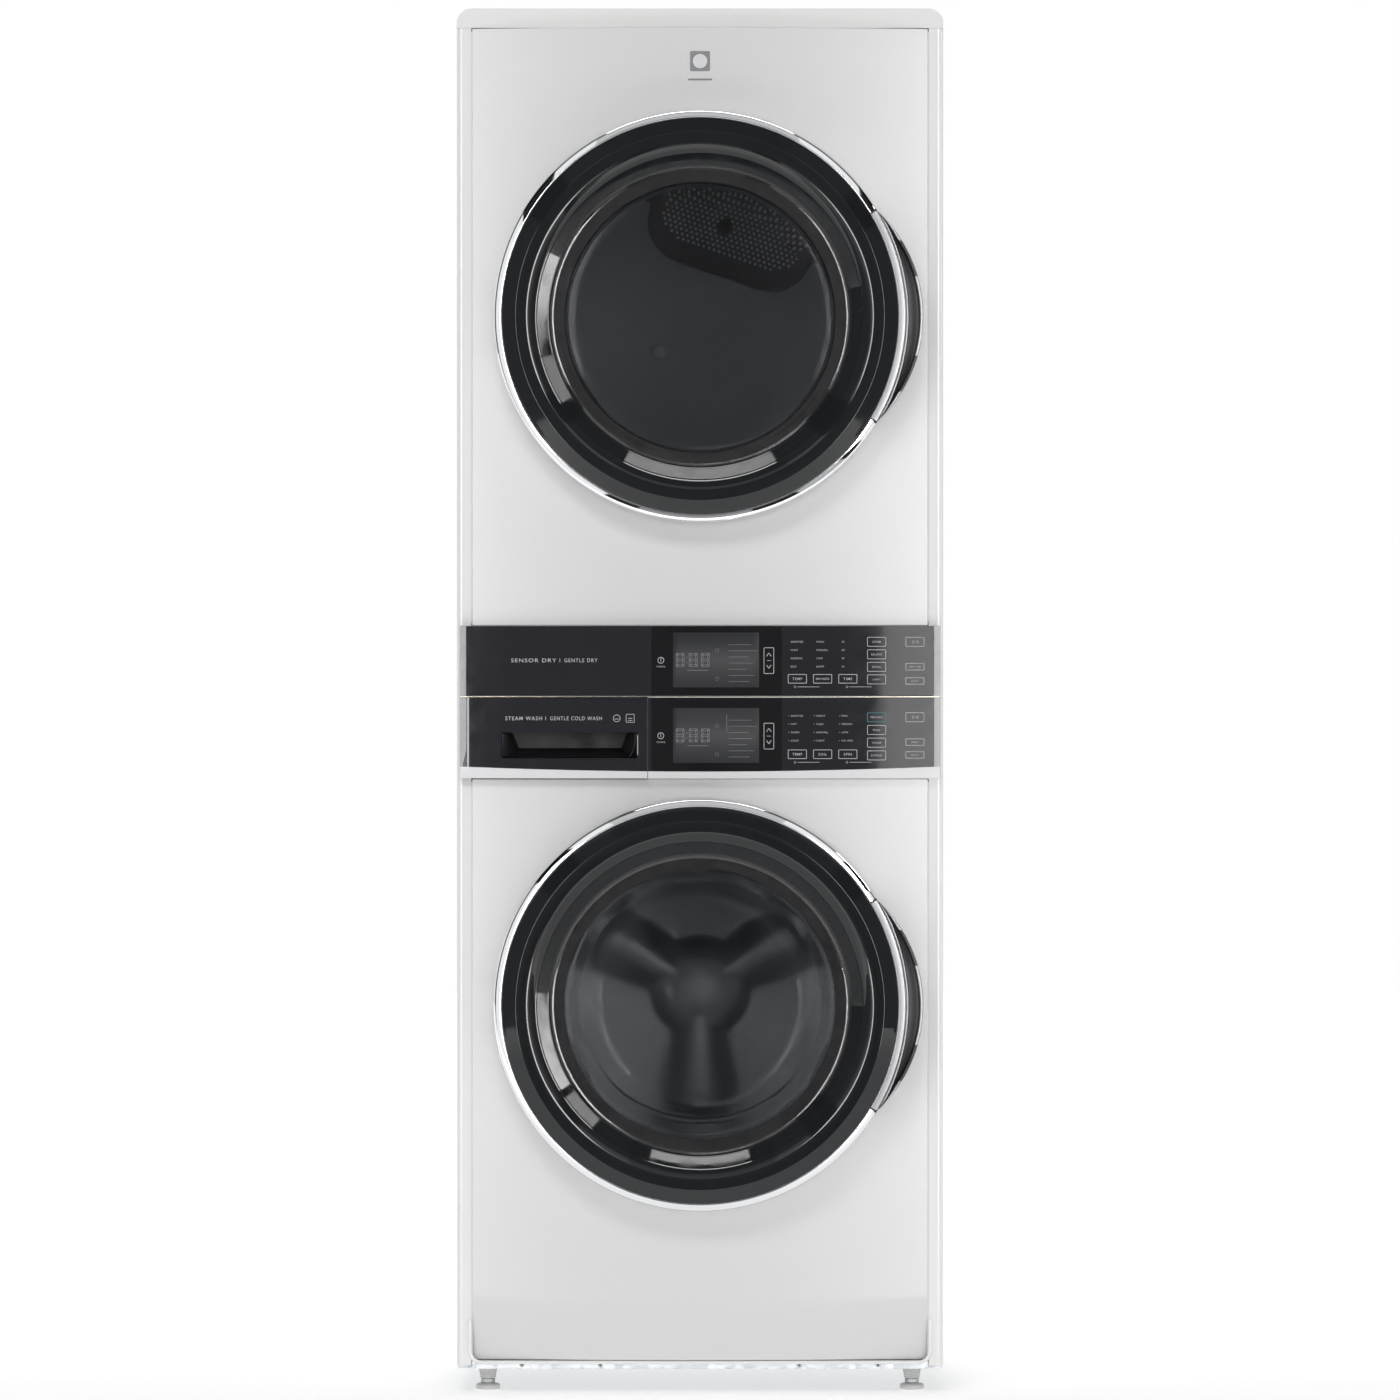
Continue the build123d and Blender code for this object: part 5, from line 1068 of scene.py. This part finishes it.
def seven_segment(x, z, width, height, line):
    """An unlit figure eight, drawn as seven outlined bars."""
    parts = []
    gap = 0.7
    mid = z
    top, bottom = z + height / 2, z - height / 2
    for level in (bottom, mid - line / 2, top - line):
        parts.append(frame_lines(x + gap, x + width - gap, level, level + line, 0.5, 0.5))
    for side in (x, x + width - line):
        parts.append(frame_lines(side, side + line, bottom + gap, mid - gap, 0.5, 0.5))
        parts.append(frame_lines(side, side + line, mid + gap, top - gap, 0.5, 0.5))
    return parts


def console_legends(door, base):
    """Legends of one control glass: power key, display, selector, option columns and keys."""
    dryer = door == "dryer"
    shapes, faint, screen, teal = [], [], [], []
    shapes.append(ring_line(-55, base + 50, 4.6, 0.8))
    shapes.append(bar(-55.4, -54.6, base + 48, base + 53))
    shapes.append(words("POWER", -55, base + 41, 2.2, centred=True))
    screen.append(bar(-38, 83, base + 12, base + 89))
    for k, x in enumerate((-34, -15.5, 1.5)):
        faint += seven_segment(x, base + 50.5, 12, 19, 3.0)
    faint += [frame_lines(-19.6, -18.0, base + 46, base + 47.6, 0.3, 0.3), frame_lines(-19.6, -18.0, base + 53, base + 54.6, 0.3, 0.3)]
    for k in range(7):
        length = (30, 36, 26, 34, 28, 40, 32)[k]
        faint.append(bar(40, 40 + length, base + 20 + k * 8.6, base + 20.5 + k * 8.6))
    faint.append(ring_line(24, base + 64, 2.6, 0.4))
    faint.append(ring_line(24, base + 24, 2.6, 0.4))
    faint.append(bar(-18, 12, base + 35.6, base + 36.3))
    if not dryer:
        faint.append(bar(37.2, 37.8, base + 54, base + 80))
    shapes.append(frame_lines(89.5, 104, base + 31, base + 68, 1.6, 0.8))
    for side, middle in ((1, base + 58), (-1, base + 41)):
        for way in (-1, 1):
            shapes.append(stroke((96.75, middle + side * 2.4), (96.75 + way * 3.2, middle - side * 2.4), 0.9))
    shapes.append(bar(94, 99.5, base + 49.2, base + 49.8))
    columns = (("SANITIZE", "HIGH", "NORMAL", "ECO"), ("MORE", "NORMAL", "LOW", "DAMP"), ("75", "60", "45", "30"))
    if not dryer:
        columns = (("SANITIZE", "HOT", "WARM", "COLD"), ("HEAVY", "HIGH", "NORMAL", "LIGHT"), ("MAX", "MEDIUM", "LOW", "NO SPIN"))
    start = base + 76 if dryer else base + 78
    for column, x in zip(columns, (127.5, 163.5, 199)):
        for k, text in enumerate(column):
            shapes.append(words(text, x, start - k * 11.6, 2.5))
            if not dryer:
                shapes.append(ring_line(x - 3, start - k * 11.6, 0.5, 0.4, steps=8))
    keys = ("TEMP", "DRYNESS", "TIME") if dryer else ("TEMP", "SOIL", "SPIN")
    for text, x in zip(keys, (123.5, 159, 194.5)):
        shapes.append(frame_lines(x, x + 26.5, base + 17.5, base + 30.5, 1.2, 0.8))
        shapes.append(words(text, x + 13.25, base + 24, 3.6 if len(text) < 6 else 2.8, True, True))
    for x in (132, 205):
        shapes.append(bar(x + 5, x + 36, base + 12.4, base + 13.0))
        shapes.append(ring_line(x + 1.5, base + 12.7, 1.6, 0.4, steps=12))
    options = ("STEAM", "RELEASE", "EXTRA", "LIGHT") if dryer else ("PRESOAK", "RINSE", "STEAM", "EXTEND")
    for k, text in enumerate(options):
        level = base + 76 - k * (17.6 if dryer else 17.9)
        target = teal if not dryer and k == 0 else shapes
        target.append(frame_lines(235, 261.5, level - 6.8, level + 6.8, 1.6, 0.8))
        shapes.append(words(text, 248.25, level, 2.5, True, True))
    level = base + 76
    shapes.append(frame_lines(289, 315.5, level - 6.8, level + 6.8, 1.6, 0.8))
    shapes += [stroke((299, level - 2.2), (299, level + 2.2), 0.5), stroke((299, level + 2.2), (302.6, level), 0.5),
               stroke((299, level - 2.2), (302.6, level), 0.5), bar(304.6, 305.2, level - 2.2, level + 2.2),
               bar(306.4, 307.0, level - 2.2, level + 2.2)]
    for text, drop in (("ADD TIME" if dryer else "FRESH", 41), ("DELAY", 21 if dryer else 23)):
        shapes.append(frame_lines(289, 315.5, base + drop - 5, base + drop + 5, 1.2, 0.8))
        shapes.append(words(text, 302.25, base + drop, 2.2, True, True))
    print_on(f"{door}_legends", shapes, LEGEND)
    print_on(f"{door}_display_window", screen, SCREEN, lift=0.04)
    print_on(f"{door}_unlit_display", faint, GHOST)
    if teal:
        print_on(f"{door}_steam_mark", teal, TEAL)


def console_left_legends():
    """Plain titles on the left of the console: one on the glass, one on the drawer's front."""
    low, high = corners("dryer_control_glass")
    z = low.z + 50
    title = [words("SENSOR DRY", -266, z, 5.4, True, width=64), bar(-197.3, -196.6, z - 2.7, z + 2.7),
             words("GENTLE DRY", -191, z, 5.4, width=47)]
    print_on("dryer_title", title, LEGEND)
    fascia = corners("drawer_fascia")[0].z
    z = fascia + 84.5
    title = [words("STEAM WASH", -274, z, 5.4, True, width=52), bar(-217.3, -216.6, z - 2.7, z + 2.7),
             words("GENTLE COLD WASH", -211, z, 5.4, width=73)]
    title += [ring_line(-117, z, 5.2, 0.8), stroke((-120.5, z - 1), (-113.5, z - 1), 0.7),
              frame_lines(-104, -92, z - 6, z + 6, 1.0, 0.7), bar(-101, -95, z - 3.4, z - 2.6), bar(-101, -95, z - 0.4, z + 0.4)]
    print_on("washer_title", title, LEGEND, "detergent_drawer", 0.32)


def control_glass(door):
    """Control glass: a thin bowed plate with softened edges."""
    node = f"{door}_control_glass"
    low, high = corners(node)
    sections = []
    for x in spaced(low.x, high.x, 90):
        front, back = console_y(x), console_y(x) + 3.0
        edge = rounded([(front, low.z), (front, high.z), (back, high.z), (back, low.z)], 0.6, 2)
        sections.append([(x, y, z) for y, z in edge])
    even_shading(make_mesh(f"{door}_bowed_glass", *loft(sections), TOUCH_GLASS, "cabinet", "black_glass", replaces=[node], sharp=60))


def drawer_face():
    """Glossy skin on the detergent drawer's front, open at the finger pull."""
    low, high = corners("drawer_fascia")
    hole = (-279.0, -88.0, 894.0, 930.0)
    left, right = -GLASS_HIGH.x, high.x
    across = spaced(left, hole[0], 12)[:-1] + spaced(hole[0], hole[1], 42) + spaced(hole[1], right, 4)[1:]
    upward = spaced(low.z, hole[2], 4)[:-1] + spaced(hole[2], hole[3], 6) + spaced(hole[3], high.z, 6)[1:]
    points = [(x, console_y(x, 0.2), z) for x in across for z in upward]
    rows = len(upward)
    faces = []
    for i in range(len(across) - 1):
        for j in range(rows - 1):
            if 12 <= i < 54 and 4 <= j < 10:
                continue
            faces.append((i * rows + j, (i + 1) * rows + j, (i + 1) * rows + j + 1, i * rows + j + 1))
    skin = make_mesh("drawer_glossy_face", points, faces, TOUCH_GLASS, "detergent_drawer", "black_glass", sharp=60)
    if skin.data.polygons[0].normal.y > 0:
        skin.data.flip_normals()
    even_shading(thicken(skin, 0.6))


def lip_trim():
    """White lip under the console: higher at its ends, and parted where the drawer begins."""
    low = corners("drawer_fascia")[0].z
    for name, left, right, body in (("console_lip", -72.9, CONSOLE_HALF - 0.3, "cabinet"),
                                    ("drawer_lip", -CONSOLE_HALF + 0.3, -73.9, "detergent_drawer")):
        sections = []
        for x in spaced(left, right, 60):
            top = low + 9.7 + 7 * (x / CONSOLE_HALF) ** 2
            front = console_y(x, 0.5)
            edge = rounded([(front, low), (front, top), (front + 1.6, top), (front + 1.6, low)], 0.4, 2)
            sections.append([(x, y, z) for y, z in edge])
        even_shading(make_mesh(name, *loft(sections), WHITE_ABS, body, "white_plastic", sharp=60))


def seam_trim():
    """Champagne strip along the seam between the two control glasses."""
    level = (corners("dryer_control_glass")[0].z + corners("washer_control_glass")[1].z) / 2
    for name, left, right, body in (("seam_strip_right", -73.2, CONSOLE_HALF - 0.5, "cabinet"),
                                    ("seam_strip_left", -CONSOLE_HALF + 0.5, -74.4, "cabinet")):
        sections = []
        for x in spaced(left, right, 40):
            y = console_y(x)
            shape = [(y + 0.1, level + 0.75), (y - 0.35, level + 0.4), (y - 0.35, level - 0.1), (y + 0.1, level - 0.2), (y + 1.2, level - 0.2), (y + 1.2, level + 0.75)]
            sections.append([(x, a, b) for a, b in shape])
        points, faces = loft(sections)
        make_mesh(name, points, faces, CHAMPAGNE, body, "silver_plastic", sharp=40)


def drawer_pull():
    """Scooped liner inside the drawer's pull: a long dark scoop with a bright end rib."""
    fascia_low, fascia_high = corners("drawer_fascia")
    left, right, low, high = -278.4, -88.6, 894.6, 929.4
    back = -324.5
    parts = []
    for slant, x in ((1, left), (-1, right)):
        sections = []
        for t in spaced(0, 1, 8):
            y = console_y(x) + 3 + (back - console_y(x) - 3) * t
            lean = slant * (20 * (1 - t) ** 1.6)
            sections.append([(x + slant * 0.2, y, low + 1), (x + slant * (26 * t), y, low + 1 + 2 * t),
                             (x + slant * (14 * t) + 0.1 * lean, y, high - 1), (x + slant * 0.2, y, high - 1)])
        parts.append(loft(sections))
    sections = []
    for x in spaced(left + 2, right - 2, 24):
        y = console_y(x)
        sections.append([(x, y + 4, low + 0.4), (x, y + 22, low + 3.5), (x, back, low + 13), (x, back, low + 0.4)])
    parts.append(loft(sections))
    points, faces = merge(*parts)
    make_mesh("drawer_pull_scoop", points, faces, SOOT, "detergent_drawer", "dark_plastic", sharp=50)
    sections = []
    for t in spaced(0, 1, 14):
        z = high - 1 - 33 * t
        x = right - 2.5 - 8 * (t**3)
        y = console_y(x) + 1.6
        sections.append([(x + a, y + b, z) for a, b in ((-0.9, 0), (0, -0.8), (0.9, 0), (0.9, 3), (-0.9, 3))])
    points, faces = loft(sections)
    make_mesh("drawer_pull_rib", points, faces, SATIN, "detergent_drawer", "silver_plastic", sharp=50)


# ================================================================ small parts
def threaded_stem(x, y, radius, low, high, pitch=1.75, cut=0.55):
    """A rod with a helical thread, standing on the axis at (x, y)."""
    around = 28
    rows = int((high - low) / (pitch / 5))
    points, faces = [], []
    for i in range(rows + 1):
        z = low + (high - low) * i / rows
        for k in range(around):
            share = (z / pitch - k / around) % 1
            r = radius - cut * abs(2 * share - 1)
            a = 2 * pi * k / around
            points.append((x + r * cos(a), y + r * sin(a), z))
    for i in range(rows):
        for k in range(around):
            n = (k + 1) % around
            faces.append((i * around + k, i * around + n, (i + 1) * around + n, (i + 1) * around + k))
    faces += [tuple(range(around)), tuple(range(rows * around, (rows + 1) * around))]
    return points, faces


def levelling_foot(place):
    """Foot: a ribbed pad with a domed shoulder, a chamfered hexagon and a threaded stem."""
    node = f"foot_{place}"
    low, high = corners(node)
    x, y = (low.x + high.x) / 2, (low.y + high.y) / 2
    pad = rounded([(0, 0), (15.5, 0), (17, 1.6), (17, 6.2), (15.6, 8), (9, 9.2), (0, 9.2)], 0.9, 3)
    turned = lathe([(r, h) for r, h in pad], 0, 0, 56)
    pad_part = (stand(turned[0], x, y), turned[1])
    ribs = []
    for k in range(18):
        a = 2 * pi * k / 18
        out = Vector((cos(a), sin(a), 0))
        side = Vector((-sin(a), cos(a), 0))
        section = []
        for h in (1.8, 6.0):
            middle = Vector((x, y, h))
            section.append([tuple(middle + out * r + side * s) for r, s in ((16.4, -0.9), (17.0, -0.5), (17.0, 0.5), (16.4, 0.9))])
        ribs.append(loft(section))
    points, faces = merge(pad_part, *ribs)
    make_mesh(f"{node}_pad", points, faces, FOOT_NYLON, node, "steel", replaces=[node], sharp=50)
    hexagon = []
    for h, r in ((9.2, 9.2), (10.0, 10.2), (15.0, 10.2), (15.8, 9.2)):
        hexagon.append([(x + r * cos(radians(60 * k)), y + r * sin(radians(60 * k)), h) for k in range(6)])
    nut = make_mesh(f"{node}_hexagon", *loft(hexagon), PLATED_STEEL, node, "steel", sharp=30)
    round_edges(nut, 0.3, 2)
    ridged = [(0, 15.8)]
    for step in range(6):
        wide, level = 11.4 + 0.45 * step, 16.0 + 2.7 * step
        ridged += [(wide - 1.3, level), (wide, level + 0.9), (wide, level + 1.7), (wide - 1.3, level + 2.5)]
    collar = lathe(ridged + [(0, 32.4)], 0, 0, 48)
    make_mesh(f"{node}_ridged_collar", stand(collar[0], x, y), collar[1], FOOT_NYLON, node, "steel", sharp=40)
    stem = threaded_stem(x, y, 6.0, 32.0, high.z)
    make_mesh(f"{node}_thread", *stem, PLATED_STEEL, node, "steel", sharp=60)


def islands(node):
    """Middles and sizes of the separate solids in one CAD piece."""
    mesh = NODES[node].data
    shape = bmesh.new()
    shape.from_mesh(mesh)
    bmesh.ops.remove_doubles(shape, verts=shape.verts, dist=0.001 * MM)
    seen, found = set(), []
    for vertex in shape.verts:
        if vertex.index in seen:
            continue
        group, queue = [], [vertex]
        seen.add(vertex.index)
        while queue:
            here = queue.pop()
            group.append(here.co / MM)
            for edge in here.link_edges:
                other = edge.other_vert(here)
                if other.index not in seen:
                    seen.add(other.index)
                    queue.append(other)
        low = Vector([min(p[i] for p in group) for i in range(3)])
        high = Vector([max(p[i] for p in group) for i in range(3)])
        found.append((low, high))
    shape.free()
    return found


def pan_screws():
    """Cross-recessed pan-head screws where the cabinet is fastened; black crosses in the heads are painted shade for
    the recesses.
    """
    heads, marks = [], []
    for low, high in islands("cabinet_screws"):
        x, z = (low.x + high.x) / 2, (low.z + high.z) / 2
        way = -1 if low.y < 0 else 1
        radius = (high.x - low.x) / 2
        seat = high.y if way < 0 else low.y
        tall = high.y - low.y
        dome = rounded([(0, 0), (radius, 0), (radius, tall * 0.35), (radius * 0.72, tall * 0.86), (0, tall)], [0, 0.1, 0.5, 1.2, 0], 4)
        heads.append(lathe([(r, seat + way * h) for r, h in dome], x, z, 28))
        face = seat + way * (tall + 0.02)
        # Black crosses in the heads paint the shade of the cross recesses.
        for wide, tall_bar in ((radius * 0.62, 0.55), (0.55, radius * 0.62)):
            outline = box_outline(x - wide, x + wide, z - tall_bar, z + tall_bar, 0.2, 2)
            marks.append(plate(outline, face, face - way * 0.6))
    make_mesh("pan_head_screws", *merge(*heads), PLATED_STEEL, "cabinet", "steel", replaces=["cabinet_screws"], sharp=50)
    make_mesh("screw_recess_shade", *merge(*marks), SOOT, "cabinet", "dark_plastic", sharp=50)


def badge():
    """Small plain badge: a satin square with a raised disc, and no mark on it."""
    z = corners("top_panel")[0].z - 48
    y = arc_y(0, CROWN, PANEL_ARC)
    outline = box_outline(-14, 14, z - 14, z + 14, 2.0)
    square = make_mesh("plain_badge", *plate(outline, y - 0.9, y + 0.4), GREY_PP, "cabinet", "silver_plastic")
    round_edges(square, 0.35)
    disc = lathe(rounded([(0, y - 1.4), (9.5, y - 1.4), (10.2, y - 0.8), (0, y - 0.8)], 0.3, 3), 0, z, 64)
    make_mesh("plain_badge_disc", *disc, WHITE_ABS, "cabinet", "silver_plastic", sharp=50)
    line = box_outline(-17, 17, z - 27, z - 24.6, 1.0)
    make_mesh("plain_badge_bar", *plate(line, y - 0.6, y + 0.3), GREY_PP, "cabinet", "silver_plastic")


def rear_details():
    """Pressed ribs, a blank rating plate and collars at the services on the back."""
    low, high = corners("rear_panel")
    y = high.y
    half = high.x - 60
    parts = []
    for bottom, top in ((160, 840), (1240, 1700)):
        for x in (-half, -half / 3, half / 3, half):
            rows = ((9, 0.0), (7, 1.4), (4, 1.8))
            sections = []
            for wide, rise in rows:
                outline = box_outline(x - wide, x + wide, bottom + 9 - wide, top - 9 + wide, wide * 0.95, 6)
                sections.append([(a, y + rise, b) for a, b in outline])
            parts.append(loft(sections))
    make_mesh("rear_pressed_ribs", *merge(*parts), GALVANISED, "cabinet", "galvanised", sharp=25)
    label = box_outline(170, 270, 1080, 1140, 3)
    make_mesh("blank_rating_plate", *plate(label, y - 0.1, y + 0.4), WHITE_ABS, "cabinet", "white_plastic")
    rings = []
    for x, z, r in ((180, 930, 14.8), (230, 930, 14.8), (-80, 100, 16.4), (250, 1000, 13.4)):
        shape = rounded([(r, y - 1.2), (r + 5, y), (r + 5, y + 1.2), (r, y + 2.2)], 0.5, 3)
        rings.append(lathe([(a, b + 0.01) for a, b in shape], x, z, 40))
    make_mesh("service_grommets", *merge(*rings), BLACK_RUBBER, "cabinet", "black_rubber", sharp=50)
    threads = []
    for x in (180, 230):
        for step in range(6):
            at = y + 3 + step * 2
            shape = [(12.4, at), (13.45, at + 0.9), (12.4, at + 1.8)]
            threads.append(lathe(shape, x, 930, 40))
    make_mesh("hose_tail_threads", *merge(*threads), WHITE_ABS, "cabinet", "white_plastic", sharp=30)


def lint_mesh():
    """Screen cloth inside the lint filter's frame."""
    low, high = corners("lint_filter")
    middle = (low.y + high.y) / 2
    parts = []
    left, right, bottom, top = low.x + 11, high.x - 11, low.z + 11, high.z - 26
    for x in spaced(left, right, 44):
        parts.append(plate(box_outline(x - 0.25, x + 0.25, bottom, top), middle - 0.25, middle + 0.25))
    for z in spaced(bottom, top, 28):
        parts.append(plate(box_outline(left, right, z - 0.25, z + 0.25), middle - 0.5, middle))
    make_mesh("lint_screen_cloth", *merge(*parts), GREY_PP, "lint_filter", "white_plastic", sharp=30)


# ================================================================ stage
def stage():
    """Pale floor that glows as painted light, soft lights and a long-lens camera square to the doors."""
    wide, near, far = 12000, -2200, 12000
    points = [(-wide, near, -1), (wide, near, -1), (wide, far, -1), (-wide, far, -1)]
    mesh = bpy.data.meshes.new("studio_floor")
    mesh.from_pydata([Vector(p) * MM for p in points], [], [(0, 1, 2, 3)])
    floor = bpy.data.objects.new("studio_floor", mesh)
    bpy.context.scene.collection.objects.link(floor)
    material, tree, shader, places = finish("studio_floor_paint_and_glow", "#F2F2F2", 0.6, Emission_Color=linear("#FFFFFF"))
    # The floor glows everywhere as painted light, more strongly far behind the tower and far ahead of it, so that it
    # fades into the white background.
    depth = add_node(tree, "ShaderNodeSeparateXYZ", {}, {0: places}).outputs[1]
    fade = {"Value": depth, "From Min": -0.3, "From Max": 1.0, "To Min": 0.42, "To Max": 0.9}
    behind = add_node(tree, "ShaderNodeMapRange", {"interpolation_type": "SMOOTHSTEP"}, fade)
    fade = {"Value": depth, "From Min": -1.1, "From Max": -2.1, "To Min": 0.0, "To Max": 0.7}
    ahead = add_node(tree, "ShaderNodeMapRange", {"interpolation_type": "SMOOTHSTEP"}, fade)
    glow = add_node(tree, "ShaderNodeMath", {}, {0: behind.outputs[0], 1: ahead.outputs[0]})
    tree.links.new(glow.outputs[0], shader.inputs["Emission Strength"])
    mesh.materials.append(material)

    # The room: white to the lens, even grey to matt surfaces, and to glossy ones white with a
    # grey field ahead of the doors and five black flags that the door rings mirror.
    world = bpy.data.worlds.new("studio")
    bpy.context.scene.world = world
    world.use_nodes = True
    tree = world.node_tree
    tree.nodes.clear()
    way = add_node(tree, "ShaderNodeTexCoord").outputs["Generated"]
    split = add_node(tree, "ShaderNodeSeparateXYZ", {}, {0: way})
    turn = add_node(tree, "ShaderNodeMath", {"operation": "ARCTAN2"}, {0: split.outputs[2], 1: split.outputs[0]})
    share = add_node(tree, "ShaderNodeMapRange", {}, {"Value": turn.outputs[0], "From Min": -pi, "From Max": pi})
    flags = add_node(tree, "ShaderNodeValToRGB", {}, {0: share.outputs[0]})
    flags.color_ramp.interpolation = "CONSTANT"
    flags.color_ramp.elements[0].color = (1, 1, 1, 1)
    flags.color_ramp.elements[1].color = (1, 1, 1, 1)
    sectors = ((-121, 0.02), (-111, 0.35), (-74, 0.02), (-58, 0.5), (-42, 0.02), (-34, 1.0), (30, 0.02),
               (42, 1.0), (62, 0.6), (118, 1.0), (131, 0.02), (146, 1.0))
    for angle, tone in sectors:
        flags.color_ramp.elements.new(angle / 360 + 0.5).color = (tone, tone, tone, 1)
    ahead = add_node(tree, "ShaderNodeMapRange", {}, {"Value": split.outputs[1], "From Min": -1.0})
    zones = add_node(tree, "ShaderNodeValToRGB", {}, {0: ahead.outputs[0]})
    zones.color_ramp.elements[0].color = linear("#6E6E70")
    zones.color_ramp.elements[1].color = (1, 1, 1, 1)
    for place, tone in ((0.03, 0.16), (0.05, 1.0), (0.178, 1.0), (0.205, 0.14), (0.58, 0.14), (0.68, 1.0)):
        zones.color_ramp.elements.new(place).color = (tone, tone, tone, 1)
    mirrored = add_node(tree, "ShaderNodeMix", {"data_type": "RGBA", "blend_type": "MULTIPLY"}, {
        0: 1.0, 6: zones.outputs[0], 7: flags.outputs[0]})
    path = add_node(tree, "ShaderNodeLightPath")
    matt = {0: path.outputs["Is Diffuse Ray"], 6: mirrored.outputs[2], 7: linear("#A1A1A1")}
    tone = add_node(tree, "ShaderNodeMix", {"data_type": "RGBA"}, matt)
    soft = add_node(tree, "ShaderNodeBackground", {}, {"Color": tone.outputs[2], "Strength": 1.0})
    plain = add_node(tree, "ShaderNodeBackground", {}, {"Color": (1, 1, 1, 1), "Strength": 1.0})
    both = add_node(tree, "ShaderNodeMixShader", {}, {0: path.outputs["Is Camera Ray"], 1: soft.outputs[0], 2: plain.outputs[0]})
    add_node(tree, "ShaderNodeOutputWorld", {}, {0: both.outputs[0]})

    def softbox(name, place, size, power, sheen_only=True, roll=0.0, target=(0, -0.35, 1.0)):
        """A rectangular light that either shows in glossy surfaces or lights the matt ones."""
        light = bpy.data.lights.new(name, "AREA")
        light.shape = "RECTANGLE"
        light.size, light.size_y = size
        light.energy = power
        lamp = bpy.data.objects.new(name, light)
        lamp.location = place
        turned = (Vector(target) - Vector(place)).to_track_quat("-Z", "Y").to_euler()
        turned.rotate_axis("Z", radians(roll))
        lamp.rotation_euler = turned
        lamp.visible_camera = False
        lamp.visible_diffuse = not sheen_only
        lamp.visible_glossy = sheen_only
        bpy.context.scene.collection.objects.link(lamp)

    softbox("left_sheen", (-2.34, -5.6, 1.3), (1.15, 3.2), 135)
    softbox("right_sheen", (2.34, -5.6, 1.3), (1.15, 3.2), 165)
    softbox("glass_sheen", (1.53, -5.6, 1.3), (0.5, 3.2), 16, roll=-5)
    softbox("side_strip", (4.2, -0.9, 1.3), (0.3, 3.0), 55)
    softbox("high_card", (3.0, -0.6, 3.0), (1.0, 1.0), 24)
    softbox("top_strip", (0, -0.8, 4.0), (2.4, 0.4), 30)
    softbox("key_softbox", (-0.8, -3.6, 3.8), (2.2, 1.2), 50, False)
    softbox("top_softbox", (0, 0.6, 4.4), (3.0, 1.6), 20, False)

    lens = bpy.data.cameras.new("view_camera")
    lens.sensor_width = 36
    distance, shown = 9.0, 1.957
    lens.lens = 36 * distance / shown
    lens.clip_end = 100
    camera = bpy.data.objects.new("view_camera", lens)
    camera.location = (0, CAD_BOX[0][1] - distance, 0.9755)
    camera.rotation_euler = (radians(90), 0, 0)
    bpy.context.scene.collection.objects.link(camera)
    bpy.context.scene.camera = camera
    bpy.context.scene.view_settings.view_transform = "Standard"


finish_cad_pieces()
front_panel("dryer_bowed_front", "dryer_front_panel", AXIS["dryer"], False)
front_panel("washer_bowed_front", "washer_front_panel", AXIS["washer"], True)
latch_bezels()
gap_strips()
bottom_trim()
for door, height in AXIS.items():
    door_ring(door, height)
    door_lens(door, height)
    door_glass(door, height)
    door_grip(door, height)
    door_back_seal(door, height)
washer_back_relief(AXIS["washer"])
drum_holes("washer", AXIS["washer"], 24.0, 3.4, "washer_drum")
dryer_inlet_grille(AXIS["dryer"])
for door in AXIS:
    console_legends(door, corners(f"{door}_control_glass")[0].z)
    control_glass(door)
console_left_legends()
drawer_face()
lip_trim()
seam_trim()
drawer_pull()
for foot in ("front_left", "front_right", "rear_left", "rear_right"):
    levelling_foot(foot)
pan_screws()
badge()
rear_details()
lint_mesh()
stage()
